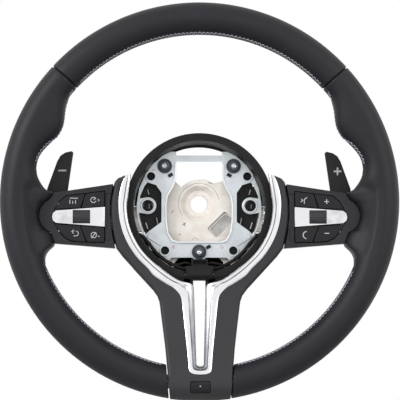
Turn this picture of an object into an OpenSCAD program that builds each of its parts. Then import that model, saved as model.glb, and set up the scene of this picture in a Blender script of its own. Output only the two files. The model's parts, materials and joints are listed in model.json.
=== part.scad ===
// Car steering wheel with its airbag taken out, as it stands on the column.
// X points to the driver's right, Y away from the driver and Z up.
// The origin is the centre of the hub bore at the hub's rear seating face.
// Depths named front and back are measured forwards from that face, towards the driver.

/* [Rim] */
// Outer diameter over the leather
rim_d = 370; // [360:1:380]
// Width of the rim seen from the driver
rim_w = 30.3; // [29:0.1:32]
// Depth of the rim from front to back
rim_depth = 33; // [31:0.5:35]
// Rim's middle plane in front of the hub's rear face
rim_f = 62; // [61:0.5:64]
// Leather thickness
leather_t = 1.3; // [1:0.1:1.6]
// How far each thumb grip swells inwards
grip_h = 10.8; // [6:0.2:13]
// Angle of each upper seam above the horizontal
seam_deg = 42.2; // [40:0.2:44]
// Width of each open seam in the leather
seam_gap = 0.8; // [0.4:0.1:1.5]
// Width of the cast ring inside the rim, and its depth
ring_w = 12; // [10:0.5:14]
// Wall of the cast ring's channel
ring_wall = 3.5; // [2.5:0.5:4.5]

/* [Hub] */
// Radius of the hub bore
bore_r = 9; // [8:0.5:10]
// Outer radius of the splined hub insert
insert_r = 13; // [12:0.5:14.5]
// Front of the cast hub
hub_f = 16; // [15:0.5:18]
// Thickness of the cast hub plate
hub_t = 8; // [6:0.5:9]
// Radius of the hub's rear boss
boss_r = 21; // [18:0.5:24]
// Number of spline grooves
spline_n = 36; // [24:4:48]
// Depth of a spline groove
spline_d = 0.9; // [0.6:0.1:1.2]
// Front face of the pads that carry the horn springs
pad_f = 13; // [12:0.5:14]

/* [Airbag carrier] */
// Front face of the carrier plate at rest
plate_f = 24; // [23:0.5:25.5]
// Sheet thickness of the carrier plate
plate_t = 1.6; // [1.2:0.1:2]
// Radius of the carrier plate's outer edge
plate_r = 59.5; // [57:0.5:60.5]
// Horn travel
horn_travel = 1.5; // [1:0.1:2]
// Radius of the airbag's fixing holes
fix_r = 4; // [3.5:0.1:4.5]
// Distance between the two upper fixing holes
fix_top_w = 91.4; // [90:0.2:93]
// Distance between the two lower fixing holes
fix_low_w = 64.6; // [63:0.2:66]
// Radius of the two side eyelets
eye_r = 5.4; // [5:0.1:5.8]
// Distance between the two side eyelets
eye_w = 97.2; // [96:0.2:98.4]
// Outer radius of a horn bush
bush_r = 6.9; // [6.5:0.1:7.3]
// Radius of a guide bolt's shank
guide_r = 3.3; // [3:0.1:3.6]
// Wire radius of a horn spring
wire_r = 0.6; // [0.5:0.05:0.8]

/* [Covers] */
// Wall of the plastic covers
wall = 2.5; // [2:0.1:3]
// Front face of the cover beside the well
cover_f = 57; // [56:0.5:58]
// Height of the silver trim above the cover
trim_rise = 1.2; // [0.8:0.1:2]
// Depth of the silver trim
trim_depth = 8; // [6:0.5:10]
// Inner radius of the silver trim, the mouth of the airbag well
well_r = 67.8; // [67:0.1:69]
// Outer radius of the silver trim
trim_r = 75; // [74:0.1:76]
// Front edge of the rear cover's rim
bowl_f = 42; // [40:0.5:44]
// Width of the flange round the rear cover's rim
bowl_lip = 7; // [5.5:0.1:8]

/* [Spoke pods] */
// Height of the pods' middle line below the hub's axis
pod_drop = 15.4; // [14:0.1:17]
// Front face of the spoke bezel
pod_f = 57; // [56.5:0.1:57.5]
// Key face in front of the bezel
key_rise = 0.6; // [0.3:0.1:1]
// Key travel
key_travel = 0.8; // [0.5:0.1:1]
// Gap round each key
key_gap = 0.45; // [0.35:0.05:0.6]
// Silver bar in front of the bezel
bar_rise = 1.5; // [1:0.1:2]
// Wall of the silver bar
bar_wall = 1.6; // [1.2:0.1:2]
// Radius of the ribbed roller
roller_r = 6.8; // [6.4:0.1:6.9]
// Width of the ribbed roller
roller_w = 15.6; // [15:0.1:16]
// Radius of the roller's axle
axle_r = 1.2; // [1:0.1:1.4]
// Number of ribs round the roller
rib_n = 18; // [14:1:24]

/* [Paddles] */
// Front face of the paddle blades
paddle_f = 28; // [27.5:0.1:28.4]
// Blade thickness
paddle_t = 3.5; // [3:0.1:4]
// Distance of each paddle's pivot from the middle
pivot_x = 92; // [90:0.5:94]
// Radius of the pivot pin
pivot_r = 1.5; // [1.2:0.1:1.8]

/* [Foot button] */
// Width of the button at 6 o'clock
foot_w = 18; // [16:0.2:20]
// Height of the button at 6 o'clock
foot_h = 10.4; // [9:0.2:12]

/* [Hidden] */
$fn = 48;
LEFT = -1;
RIGHT = 1;

black = [0.09, 0.09, 0.1];
soft_black = [0.16, 0.16, 0.17];
leather = [0.13, 0.12, 0.14];
silver = [0.8, 0.81, 0.83];
zinc = [0.72, 0.75, 0.78];
cast = [0.8, 0.77, 0.72];
steel = [0.6, 0.6, 0.62];

// Running clearance of a pin in its hole, and the gap between fixed neighbours
run_gap = 0.08;
fit_gap = 0.3;

rim_out = rim_d / 2;
rim_in = rim_out - rim_w;
rim_mid = rim_out - rim_w / 2;

// Spoke's root in the leather: corners and nose of the pod outline, seen from the driver
pod_top_corner = [135.5, 7];
pod_low_corner = [134.5, -40];
pod_nose = [133, -14.2];
pod_nose_r = 16.5;
web_f = pod_f;
web_back = 34;

// Cover and well, seen from the driver; the well's centre lies a little below the hub
well_z = -5;
bowl_z = -4.5;
foot_deg = 8.9;
foot_skew = 2.7;
rim_line = -rim_in;

// Places on the carrier plate
fix_top_z = 25.3;
fix_low_z = -45.2;
eye_z = -2.6;
bush_top = [32.7, 35.1];
bush_low = [0, -46.5];
bushes = [[-bush_top[0], bush_top[1]], bush_top, bush_low];
bush_neck_r = bush_r - 1.25;
bush_flange = 2.6;
thread_r = guide_r - 0.5;
spring_len = plate_f - plate_t - pad_f;

// Pod stack, from the driver back
key_back = pod_f - 4.6;
pod_back_f = 42.8;
pod_back_t = 2;
board_t = 1.4;
board_f = pod_back_f + board_t;
dome_h = 1.2;
roller_f = pod_f + bar_rise + 3.5 - roller_r;
roller_x = 109.8;

// Fasteners
pod_screw_r = 1.25;
pod_screw_x = [90, 118];
cover_screw_r = 1.5;
cover_screw = [74, -36.4];

function dir(a) = [cos(a), 0, sin(a)];
function smooth(t) = let(c = max(0, min(1, t))) c * c * (3 - 2 * c);
function flat(lists) = [for (l = lists) for (v = l) v];
function reversed(l) = [for (i = [len(l) - 1:-1:0]) l[i]];
function mirrored(pts) = [for (p = reversed(pts)) [-p[0], p[1]]];
function both_halves(pts) = concat(pts, mirrored(pts));

// Extrudes an outline drawn in X and Z between two depths
module slab(front, back)
    translate([0, -back, 0]) rotate([90, 0, 0]) linear_extrude(front - back) children();

// Extrudes a side profile, drawn as depth and Z, across the wheel
module across(x0, x1)
    translate([x0, 0, 0]) rotate([90, 0, 90]) linear_extrude(x1 - x0) mirror([1, 0]) children();

// Turns a profile, drawn as radius and depth, about an axis along Y
module turned(x = 0, z = 0)
    translate([x, 0, z]) rotate([90, 0, 0]) rotate_extrude() children();

module rod(x, z, front, back, r)
    slab(front, back) translate([x, z]) circle(r);

module on_side(side) {
    if (side == RIGHT) children();
    else mirror([1, 0, 0]) children();
}

module on_both() {
    on_side(LEFT) children();
    on_side(RIGHT) children();
}

module on_pair() {
    children();
    mirror([1, 0]) children();
}

// Rounds every corner of an outline
module rounded(r)
    offset(r = r, $fn = 32) offset(delta = -2 * r) offset(r = r, $fn = 32) children();

// Plate with its front edge chamfered
module chamfered(front, back, c) {
    hull() {
        slab(front, front - 0.01) offset(delta = -c) children();
        slab(front - c, back) children();
    }
}

// Closed skin over rings that have the same number of points. Before the ring named turn the faces
// are split along their other diagonal, so that two halves of a skin can mirror each other.
module skin(rings, turn = 0) {
    n = len(rings[0]);
    m = len(rings);
    sides = [for (i = [0:m - 2]) for (j = [0:n - 1]) let(a = i * n + j, b = i * n + (j + 1) % n)
        each i < turn ? [[a, a + n, b + n], [a, b + n, b]] : [[a, a + n, b], [b, a + n, b + n]]];
    ends = [[for (j = [0:n - 1]) j], [for (j = [n - 1:-1:0]) (m - 1) * n + j]];
    polyhedron(flat(rings), concat(sides, ends));
}

// Closed skin between an outer and an inner set of rings, open along the middle
module hollow_skin(outer, inner) {
    n = len(outer[0]);
    m = len(outer);
    o = m * n;
    quads = [for (i = [0:m - 2]) for (j = [0:n - 1])
        [i * n + j, i * n + (j + 1) % n, (i + 1) * n + (j + 1) % n, (i + 1) * n + j]];
    out = [for (q = quads) each [[q[0], q[3], q[1]], [q[1], q[3], q[2]]]];
    into = [for (q = quads) each [[o + q[0], o + q[1], o + q[3]], [o + q[1], o + q[2], o + q[3]]]];
    rims = [for (j = [0:n - 1]) let(k = (j + 1) % n, e = (m - 1) * n) each [
        [j, k, o + j], [k, o + k, o + j], [e + j, o + e + j, e + k], [e + k, o + e + j, o + e + k]]];
    polyhedron(flat(concat(outer, inner)), concat(out, into, rims));
}

// Round tube swept along points, with its section held upright
module swept(path, r, sides = 8) {
    last = len(path) - 1;
    rings = [for (i = [0:last])
        let(t = path[min(i + 1, last)] - path[max(i - 1, 0)], d = t / norm(t),
            ref = abs(d[2]) > 0.9 ? [1, 0, 0] : [0, 0, 1], u = cross(d, ref) / norm(cross(d, ref)),
            v = cross(d, u))
        [for (j = [0:sides - 1]) path[i] + r * (cos(360 * j / sides) * u + sin(360 * j / sides) * v)]];
    skin(rings);
}

// Rim sections. A station is [angle of its outer point, inner radius, web share, skew of its inner
// point]. The web share blends the free oval into the thick root that meets the spoke bezel.
function grip_in(a) = rim_in - grip_h * (smooth((a - 141) / 12) - smooth((a - 153.5) / 13));
function corner_in(a, f, corner) = [a, rim_in + (norm(corner) - rim_in) * f, f, 0];
function nose_point(t) = pod_nose + pod_nose_r * [cos(t), sin(t)];
root_line = concat([pod_top_corner], [for (t = [65:-17:-71]) nose_point(t)], [pod_low_corner]);
function root_station(p) = [180 - atan2(p[1], p[0]), norm(p), 1, 0];
top_stations = [for (i = [0:8]) let(a = 90 + (90 - seam_deg) * i / 8) [a, rim_in, 0, 0]];
side_stations = concat(
    [for (a = [180 - seam_deg, 142, 145, 148, 151, 154, 157, 160, 163, 166, 169]) [a, grip_in(a), 0, 0]],
    [corner_in(171.5, 0.12, pod_top_corner), corner_in(174, 0.34, pod_top_corner),
        corner_in(176.1, 0.62, pod_top_corner)],
    [for (p = root_line) root_station(p)],
    [corner_in(198, 0.6, pod_low_corner), corner_in(199, 0.32, pod_low_corner),
        corner_in(200.6, 0.12, pod_low_corner)],
    [for (i = [0:9]) let(a = 203 + (270 - foot_deg - 203) * i / 9) [a, rim_in, 0, foot_skew * smooth(i - 8)]]
);
function other_side(stations) =
    [for (s = reversed(stations)) [180 - s[0], s[1], s[2], -s[3]]];

oval_steps = [0, 25, 48, 68, 83, 97, 122, 151, 180];
outer_steps = [-60, -30, 0, 30, 60];
function section(s, inset) =
    let(b = rim_depth / 2 - inset, a_out = rim_w / 2 - inset, a_in = rim_mid - s[1] - inset,
        wf = rim_f - web_f + inset, wb = rim_f - web_back - inset,
        oval = [for (t = oval_steps) [-a_in * sin(t), -b * cos(t)]],
        web = [[0, -b], [-a_out * sin(27), -b * cos(27)], [-a_out * sin(56), -b * cos(56)],
            [-a_out * 1.03, 0], [-a_in, wf], [-a_in, wb], [-0.6 * a_in, b + 0.6 * (wb - b)],
            [-0.28 * a_in, b + 0.22 * (wb - b)], [0, b]],
        inner = [for (i = [0:8]) oval[i] * (1 - s[2]) + web[i] * s[2]],
        outer = [for (t = outer_steps) [a_out * cos(t), -b * sin(t)]],
        p = s[1] * dir(s[0] - s[3]), q = rim_out * dir(s[0]), e = (q - p) / (rim_out - s[1]))
    [for (v = concat(inner, outer)) p + e * (v[0] + rim_mid - s[1]) + [0, v[1] - rim_f, 0]];

module rim_wrap(stations)
    hollow_skin([for (s = stations) section(s, 0)], [for (s = stations) section(s, leather_t)]);

// Side spoke of the casting in plan, from the hub out to the ring
spoke_top = -3;
spoke_low = -27;
spoke_rib = 3.5;
spoke_f = 37;
channel_f = spoke_f - 4;
module side_spoke_plan() polygon([
    [20, -hub_f], [61, -hub_f], [80, -spoke_f], [124, -spoke_f], [138, -46],
    [rim_mid - 5, -rim_f + 3], [rim_mid - 5, -rim_f + 13], [138, -37], [124, -28], [80, -27],
    [64, -hub_f + hub_t], [20, -hub_f + hub_t]]);

module side_spoke() {
    translate([0, 0, spoke_low]) linear_extrude(spoke_top - spoke_low) side_spoke_plan();
}

// Channel between the ribs on the back of a side spoke
module side_spoke_channel() {
    translate([0, 0, spoke_low + spoke_rib]) linear_extrude(spoke_top - spoke_low - 2 * spoke_rib)
        polygon([[44, -11.5], [61.5, -11.5], [80, -channel_f], [122, -channel_f], [122, -20], [80, -20],
            [68, -5], [44, 0]]);
}

// Room that the rim's ring takes up
module ring_room(gap = 0) turned() translate([rim_mid - ring_w / 2 - gap, rim_f - ring_w / 2 - gap])
    square([ring_w + 2 * gap, ring_w + 2 * gap]);

// Ring with a channel at its back. The spokes meet its inner wall and its rear face.
module rim_ring() color(cast) difference() {
    ring_room();
    turned() translate([rim_mid - ring_w / 2 + ring_wall, rim_f - ring_w / 2 - 1])
        square([ring_w - 2 * ring_wall, ring_w - ring_wall + 1]);
}

// Twin lower spokes: side profile and the outline of one of them
module low_spoke_side() polygon([
    [8, -30], [hub_f, -30], [17, -48], [19, -57], [27, -66], [44, -91], [54, -118],
    [60, 30 - rim_mid], [66, 12 - rim_mid], [66, -rim_mid], [57, -rim_mid], [57, 10 - rim_mid],
    [50, 30 - rim_mid], [43, -118], [33, -90], [17, -64], [11, -52]]);

module low_spoke_front() polygon([
    [12, -30], [32, -30], [35, -46], [39.5, -58], [38, -70], [31, -92], [26.5, 35 - rim_mid],
    [24.5, -rim_mid], [15.5, -rim_mid], [17.5, 35 - rim_mid], [21.5, -92], [25, -66], [23, -56], [12, -44]]);

// Outline of the cast hub with its uneven top edge
module hub_outline() {
    polygon([
        [-34, -34], [-34, 2], [-24, 22], [-14, 13.5], [4, 23.5], [15, 19.5], [24, 22],
        [34, 2], [34, -34], [26, -39], [-26, -39]]);
    translate([bush_low[0], bush_low[1]]) circle(8.5);
    translate([-8.5, bush_low[1]]) square([17, 12]);
}

// Ear that carries an upper horn spring
module hub_ear() slab(pad_f, 9) hull() {
    translate(bush_top) circle(8);
    translate([31, 6]) circle(6);
}

module armature() color(cast) difference() {
    union() {
        on_both() side_spoke();
        on_both() intersection() {
            across(10, 45) low_spoke_side();
            slab(80, 5) low_spoke_front();
        }
        slab(hub_f, hub_f - hub_t) hub_outline();
        turned() polygon([[0, 0], [boss_r, 0], [boss_r + 2, hub_f - hub_t], [boss_r + 2, hub_f - 1],
            [0, hub_f - 1]]);
        on_both() hub_ear();
    }
    turned() polygon([[0, -1], [insert_r, -1], [insert_r, insert_h], [17.2, hub_f + 0.01], [17.2, hub_f + 5],
        [0, hub_f + 5]]);
    ring_room();
    on_both() side_spoke_channel();
    // Slanted pocket and the moulding mark beside the bore
    slab(hub_f + 1, hub_f - 3) translate([20.7, -20]) rotate(45) rounded(2) square([24, 13], center = true);
    for (p = bushes) rod(p[0], p[1], hub_f + 1, pad_f, 8);
    for (p = bushes) rod(p[0], p[1], pad_f + 1, -1, thread_r);
    on_both() for (x = pod_screw_x) rod(x, -pod_drop, spoke_f + 1, channel_f - 1, pod_screw_r + 0.1);
}

// Splined steel insert. The column enters through a plain stretch, spline_start long, and its teeth
// then find grooves whose floor stays inside that stretch's radius.
insert_h = 10;
spline_start = 4.5;
spline_w = 0.7;
spline_r = bore_r - 0.1 - spline_d;
module hub_insert() color(steel) difference() {
    turned() polygon([[bore_r, 0], [insert_r, 0], [insert_r, insert_h], [spline_r, insert_h],
        [spline_r, spline_start], [bore_r, spline_start]]);
    for (i = [0:spline_n - 1]) rotate([0, 360 * i / spline_n, 0])
        translate([spline_r - 0.2, -insert_h - 0.5, -spline_w / 2])
        cube([spline_d + 0.2, insert_h + 0.8 - spline_start, spline_w]);
}

module rim_foam() color([0.25, 0.25, 0.27]) difference() {
    skin([for (s = concat(
        other_side(side_stations), [for (s = other_side(top_stations)) if (s[0] > seam_deg + 1) s],
        [for (s = top_stations) if (s[0] > 91 && s[0] < 179 - seam_deg) s], side_stations))
        section(s, leather_t + 0.15)], len(side_stations));
    rim_ring();
    on_both() side_spoke();
}

// Passage for the spoke through the leather's tucked-in root
module root_passage() translate([120, -54, spoke_low - 1]) cube([32, 18, spoke_top - spoke_low + 2]);

seam_half = seam_gap / 2 / rim_mid * 180 / PI;
function trimmed(stations, from, to) =
    [for (s = stations) [max(from, min(to, s[0])), s[1], s[2], s[3]]];

module leather_top() color(leather)
    rim_wrap(trimmed(concat(other_side(top_stations), [for (s = top_stations) if (s[0] > 91) s]),
        seam_deg + seam_half, 180 - seam_deg - seam_half));

module leather_side(side) color(leather) on_side(side) mirror([1, 0, 0]) difference() {
    rim_wrap(trimmed(side_stations, 180 - seam_deg + seam_half, 300));
    mirror([1, 0, 0]) root_passage();
}

// Side profile of the lower spoke's covers, which ends in the rim's own oval
low_front = [
    [cover_f, 40], [cover_f, -80], [cover_f + 2, -98], [cover_f + 7, -120], [cover_f + 13, -rim_mid + 30],
    [rim_f + rim_depth / 2 - 4, -rim_mid + 15], [rim_f + rim_depth / 2 - 0.8, -rim_mid + 6]];
low_back = [
    [rim_f - rim_depth / 2 - 1, -rim_mid + 10], [rim_f - rim_depth / 2 - 6, -rim_mid + 28], [31, -115],
    [22, -85], [17, -70], [17, 40]];
function foot_oval() = [for (t = [0:15:180])
    [rim_f + rim_depth / 2 * cos(t), -rim_mid - rim_w / 2 * sin(t)]];
module low_side() polygon(concat(low_front, foot_oval(), low_back));

// The half of the lower spoke in front of the parting line
part_f = 40.5;
part_line = [
    [part_f, 60], [part_f, -75], [46, -110], [54, 35 - rim_mid], [rim_f, 12 - rim_mid],
    [rim_f, -rim_out - 10]];
module front_half() polygon(concat(part_line, [[95, -rim_out - 10], [95, 60]]));
module rear_half() translate([-fit_gap, 0]) polygon(concat(part_line, [[-10, -rim_out - 10], [-10, 60]]));

// Outer outline of the covers; its foot follows the rim
cover_side = [
    [69.7, 23.4], [76, 21], [79, 17.8], [79.8, 15.5], [82.4, 0], [82.6, -14], [80.8, -30], [77.6, -44.5],
    [71.5, -52.5], [43.5, -83], [39.5, -88.5], [37.5, -94], [32.2, 35 - rim_mid],
    [27.2, -rim_out - 2]];
module cover_outline() intersection() {
    polygon(both_halves(cover_side));
    circle(rim_out, $fn = 96);
}

// Distance from the end of the slot to the rim's inner edge
slot_foot = 1.7;

// Outer edge of the silver trim: a ring that runs out into the lower spoke
trim_side = [
    [45, -65], [42, -69.5], [30, -77.2], [23.6, -80.8], [18.8, -85.5], [16.4, -92],
    [11.7, 35 - rim_mid], [10.2, rim_line + slot_foot], [9, rim_line - 2.8], [5, rim_line - 5.1]];
module trim_outline() {
    intersection() {
        translate([0, well_z]) circle(trim_r, $fn = 96);
        polygon(both_halves([[60, 27], [69.7, 23.4], [80, 25.5], [80, -90]]));
    }
    polygon(both_halves(trim_side));
}

// Mouth of the well, with the shallow V over the lower spoke
module well_outline() {
    translate([0, well_z]) circle(well_r, $fn = 96);
    polygon(both_halves([[64, 40], [64, 25.5], [65.2, 15], [66.5, 5], [well_r - 0.1, well_z + 1]]));
    polygon(both_halves([[36, -62], [21, -73.2], [10.5, -76.4]]));
}

slot_side = [[5.6, -74], [5.4, -90], [3.4, rim_line + slot_foot]];
module slot_outline() polygon(both_halves(slot_side));

module trim_band(rise, depth) polygon(concat(
    [for (p = low_front) [p[0] + rise, p[1]]], [for (p = reversed(low_front)) [p[0] - depth, p[1]]]));

module trim_plan() difference() {
    trim_outline();
    well_outline();
    slot_outline();
}

module cover_plan() difference() {
    cover_outline();
    offset(delta = 0.2) trim_outline();
    polygon([[-69.5, 22], [69.5, 22], [60, 40], [-60, 40]]);
}

module silver_trim() color(silver) difference() {
    union() {
        intersection() {
            slab(90, 10) trim_plan();
            across(-90, 90) trim_band(trim_rise, trim_depth - trim_rise);
        }
        intersection() {
            slab(90, 10) difference() {
                intersection() {
                    offset(delta = 1.6) slot_outline();
                    translate([-20, rim_line + slot_foot]) square([40, 75]);
                }
                slot_outline();
            }
            across(-20, 20) intersection() {
                trim_band(0, 40);
                front_half();
            }
        }
    }
    intersection() {
        slab(90, 10) offset(delta = -1.8) trim_plan();
        across(-90, 90) trim_band(trim_rise - 1.8, trim_depth + 5);
    }
}

foot_z = -rim_mid - 2;
module foot_opening(gap) translate([0, foot_z]) rounded(1.8)
    square([foot_w + 2 * gap, foot_h + 2 * gap], center = true);

module lower_cover() color(soft_black) difference() {
    union() {
        difference() {
            intersection() {
                slab(90, 10) cover_plan();
                across(-90, 90) intersection() {
                    low_side();
                    front_half();
                }
            }
            intersection() {
                slab(90, 5) offset(delta = -wall) cover_plan();
                across(-90, 90) offset(delta = -wall) low_side();
            }
        }
        on_both() rod(cover_screw[0], cover_screw[1], cover_f - wall / 2, part_f, 2 * cover_screw_r);
    }
    ring_room(2 * fit_gap);
    slab(90, rim_f + 4) foot_opening(0.4);
    on_both() rod(cover_screw[0], cover_screw[1], part_f + 7, part_f - 1, cover_screw_r);
}

plate_gap = 2.7;
flange_t = 2.4;
bowl_wall_r = plate_r + plate_gap;
bowl_out_r = bowl_wall_r + wall;
bowl_r = bowl_wall_r + bowl_lip;
flange_f = bowl_f - flange_t;
module bowl_profile() polygon([
    [bowl_wall_r - 3, 5.6], [bowl_wall_r + 1.5, 5.6], [bowl_out_r, flange_f], [bowl_r, flange_f],
    [bowl_r, bowl_f], [bowl_wall_r, bowl_f], [bowl_wall_r - 1, 8.1], [bowl_wall_r - 3, 8.1]]);

// Room that the bowl takes up between the backs of the spokes
module bowl_room() turned(0, bowl_z) polygon([
    [0, 0], [bowl_out_r + fit_gap, 0], [bowl_out_r + fit_gap, flange_f - fit_gap],
    [bowl_r + fit_gap, flange_f - fit_gap], [bowl_r + fit_gap, 60], [0, 60]]);

arm_side = [[50, 20.5], [131.5, 5.5], [131.5, -35.5], [50, -41.5]];
arm_floor = 17;
arm_front = pod_back_f - pod_back_t - 2 * fit_gap;
arm_in = bowl_out_r + fit_gap + wall;
module arm_outline() polygon(arm_side);

module rear_arm() difference() {
    slab(arm_front, arm_floor) arm_outline();
    difference() {
        intersection() {
            slab(arm_front + 1, arm_floor + wall) offset(delta = -wall) arm_outline();
            translate([arm_in, -60, -60]) cube([90, 60, 90]);
        }
        rod(cover_screw[0], cover_screw[1], arm_front + 2, arm_floor, cover_screw_r + 1.8);
    }
    rod(cover_screw[0], cover_screw[1], arm_front + 1, arm_floor - 1, cover_screw_r + 0.1);
}

// Slot in the top of a rear arm where the paddle comes out
module paddle_slot() translate([96, -paddle_f - 6, -1]) cube([60, 14, 30]);

// Seat of the control module in the wall of the bowl
module_w = 26;
module_low = -71;
module_top = -60.5;
module_back = 30;
module_f = 46;
module module_seat() slab(module_f + 5, module_back) translate([-module_w / 2 - fit_gap, module_low])
    square([module_w + 2 * fit_gap, 20]);

// Passages for the casting's spokes, the paddles, the wires to the pods and the control module
module cover_passages() {
    ring_room(2 * fit_gap);
    on_both() translate([50, -33, spoke_low - 1]) cube([24.5, 28, spoke_top - spoke_low + 2]);
    on_both() translate([125, -60, spoke_low - 1]) cube([10, 30, spoke_top - spoke_low + 2]);
    on_both() translate([22, -39, -76]) cube([20, 30, 24]);
    on_both() paddle_slot();
    on_both() translate([48, -wire_f - 4, -39]) cube([arm_in - 47, 9, 13]);
    module_seat();
}

// Bowl round the carrier plate
module rear_cover() color(black) difference() {
    turned(0, bowl_z) bowl_profile();
    cover_passages();
}

// Backs of the side spokes
module arm_back(side) color(black) on_side(side) difference() {
    rear_arm();
    bowl_room();
    cover_passages();
}

// Back of the lower spoke: a shell with its own slot
module lower_spoke_back() color(black) difference() {
    intersection() {
        slab(80, 5) difference() {
            cover_outline();
            offset(delta = 0.3) slot_outline();
            translate([-100, -62]) square([200, 120]);
        }
        across(-90, 90) intersection() {
            low_side();
            rear_half();
        }
    }
    intersection() {
        slab(85, 5) difference() {
            offset(delta = -wall) cover_outline();
            offset(delta = 0.3 + wall) slot_outline();
        }
        across(-90, 90) offset(delta = -wall) low_side();
    }
    bowl_room();
    cover_passages();
}

// Carrier plate, seen from the driver
plate_half = [
    [21, 49], [27, 49], [35, 45], [44, 37], [52, 25.5], [57, 14], [59.2, 0], [59.4, -8], [57.5, -20],
    [53, -30.5], [50.6, -36], [46.5, -44.5], [41, -48.5], [34, -54], [29, -55], [26, -52], [8, -52]];
u_half = [[21.8, 37.5], [21.8, 23], [24, 16], [29.5, 6.5], [31, -2], [30.6, -18], [29, -29], [25, -35],
    [20, -36.6]];
window_half = [
    [35.8, 9.5], [41, 17], [49, 19.5], [51.8, 16.2], [55.8, 7], [57.4, -3], [57.2, -12], [54.6, -22],
    [51, -30.2], [48, -27], [35.8, -18]];

module plate_lobes() {
    polygon(both_halves(plate_half));
    translate(bush_low) circle(bush_r + 1.6);
    on_pair() translate(bush_top) circle(bush_r + 2.1);
}

module eyelet_tab() hull() {
    translate([eye_w / 2, eye_z]) circle(eye_r + 2.6);
    translate([plate_r - 4, eye_z - 6.5]) square([3, 13]);
}

module airbag_carrier() color(zinc) difference() {
    union() {
        slab(plate_f, plate_f - plate_t) difference() {
            plate_lobes();
            polygon(both_halves(concat([[21.8, 60]], u_half)));
            on_pair() difference() {
                polygon(window_half);
                eyelet_tab();
            }
        }
        // Turned-up edge round the opening and the bridge between the upper lobes
        slab(plate_f + 2, plate_f - plate_t) difference() {
            polygon(both_halves([for (p = u_half) p + [1.5 * sign(p[0]), p[1] < -30 ? -1.5 : 0]]));
            polygon(both_halves(concat([[21.8, 60]], u_half)));
        }
        slab(plate_f - 1.2, plate_f - 2.8) translate([-23.5, 39.6]) square([47, 5.8]);
        on_both() {
            translate([22.2, -plate_f + 0.2, 39.6]) cube([1.6, 2.6, 5.8]);
            rod(fix_top_w / 2, fix_top_z, plate_f + 0.9, plate_f - plate_t, fix_r + 1.6);
            rod(fix_low_w / 2, fix_low_z, plate_f + 0.9, plate_f - plate_t, fix_r + 1.6);
            rod(eye_w / 2, eye_z, plate_f + 0.9, plate_f - plate_t, eye_r + 1.6);
            // Embossed rib across a lower wing
            slab(plate_f + 0.8, plate_f - plate_t) translate([41, -35.5]) rotate(32)
                square([18, 4.5], center = true);
        }
    }
    on_both() {
        rod(fix_top_w / 2, fix_top_z, plate_f + 5, 5, fix_r);
        rod(fix_low_w / 2, fix_low_z, plate_f + 5, 5, fix_r);
        rod(eye_w / 2, eye_z, plate_f + 5, 5, eye_r);
    }
    for (p = bushes) rod(p[0], p[1], plate_f + 5, 5, bush_neck_r + 0.05);
}

// Bush that snaps into the plate: a flange in front and a neck through the plate
module horn_bushes() color(soft_black) for (p = bushes) turned(p[0], p[1]) polygon([
    [guide_r + run_gap, plate_f - 4], [bush_neck_r, plate_f - 4], [bush_neck_r, plate_f], [bush_r, plate_f],
    [bush_r, plate_f + bush_flange - 0.5], [bush_r - 0.5, plate_f + bush_flange],
    [guide_r + run_gap, plate_f + bush_flange]]);

module guide_bolts() color(silver) for (p = bushes) let(head = plate_f + bush_flange + 0.1) difference() {
    turned(p[0], p[1]) polygon([
        [0, 2], [thread_r, 2], [thread_r, pad_f], [guide_r, pad_f], [guide_r, head], [guide_r + 1.2, head],
        [guide_r + 1.2, head + 1.5], [guide_r + 0.4, head + 2.1], [0, head + 2.1]]);
    slab(head + 5, head + 0.5) translate(p) circle(2, $fn = 6);
}

// Locking tabs beside the bushes: place and turn of each
module retaining_clips() color(black)
    for (c = [[-27.3, 26.5, 30], [8.8, -41.8, 28], [28.6, 26.5, -30]]) slab(plate_f + 1.6, plate_f)
        translate([c[0], c[1]]) rotate(c[2]) square([4.6, 3], center = true);

spring_turns = 3.5;
spring_mid_r = bush_neck_r + 0.4 + wire_r;
module horn_spring(p) {
    steps = 14;
    low = pad_f + wire_r + 0.02;
    rise = spring_len - 2 * wire_r - 0.04;
    color(steel) swept([for (i = [0:steps * spring_turns])
        let(a = 360 * i / steps, part = i / (steps * spring_turns), t = 0.3 * smooth(part) + 0.7 * part)
        [p[0] + spring_mid_r * cos(a), -low - rise * t, p[1] + spring_mid_r * sin(a)]], wire_r, 5);
}

// Black panels on the side spokes that insulate the plate from the casting
panel_x = eye_w / 2 + 7.4;
panel_half = [
    [34, 17], [49, 18.5], [panel_x - 2.5, 12], [panel_x, 0], [panel_x, -12], [panel_x - 2, -21],
    [50.5, -30], [44, -31], [34, -24]];
panel_t = 2;
rib_f = plate_f - plate_t - horn_travel - 1.3;
module insulating_frame() color(black) on_both() difference() {
    union() {
        slab(hub_f + panel_t, hub_f) polygon(panel_half);
        slab(rib_f, hub_f + 1) {
            translate([46, 11]) rotate(20) square([3, 8], center = true);
            translate([40, -17]) rotate(-12) square([3, 9], center = true);
            translate([49.5, -21]) rotate(-16) square([2, 10], center = true);
        }
    }
    rod(eye_w / 2, eye_z, hub_f + 5, hub_f - 1, eye_r - 1);
}

// Outline of a spoke bezel on the right
pod_inner_line = [[78.6, -44.4], [81.8, -30], [83.6, -14], [83.4, 0], [80.7, 15.3]];
module pod_outline(inset = 0) offset(delta = -inset) union() {
    polygon(concat(pod_inner_line, root_line));
}

// Key field and its parts, as distances out from the middle and up from the pod's middle line
bar_half_in = 9.5;
bar_half_out = 6;
bar_in = 88.2;
bar_out = 133.5;
function bar_half(u) = bar_half_in - (u - bar_in) * (bar_half_in - bar_half_out) / (bar_out - bar_in);
bar_top = [[bar_in, bar_half_in], [bar_out, bar_half_out], [bar_out + 3, 3.6], [bar_out + 3.9, 0]];
key_top = [[bar_in, 24.3], [106, 22], [124.2, 19.9], [130, 15], [134.8, 7.2]];
key_low = [[bar_in, -24.2], [105, -23.8], [118.5, -23.2], [124.5, -20.4], [130, -14.8], [134.8, -7.2]];
split_top = 110.4;
split_low = 110.6;

module in_pod() translate([0, -pod_drop]) children();

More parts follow.
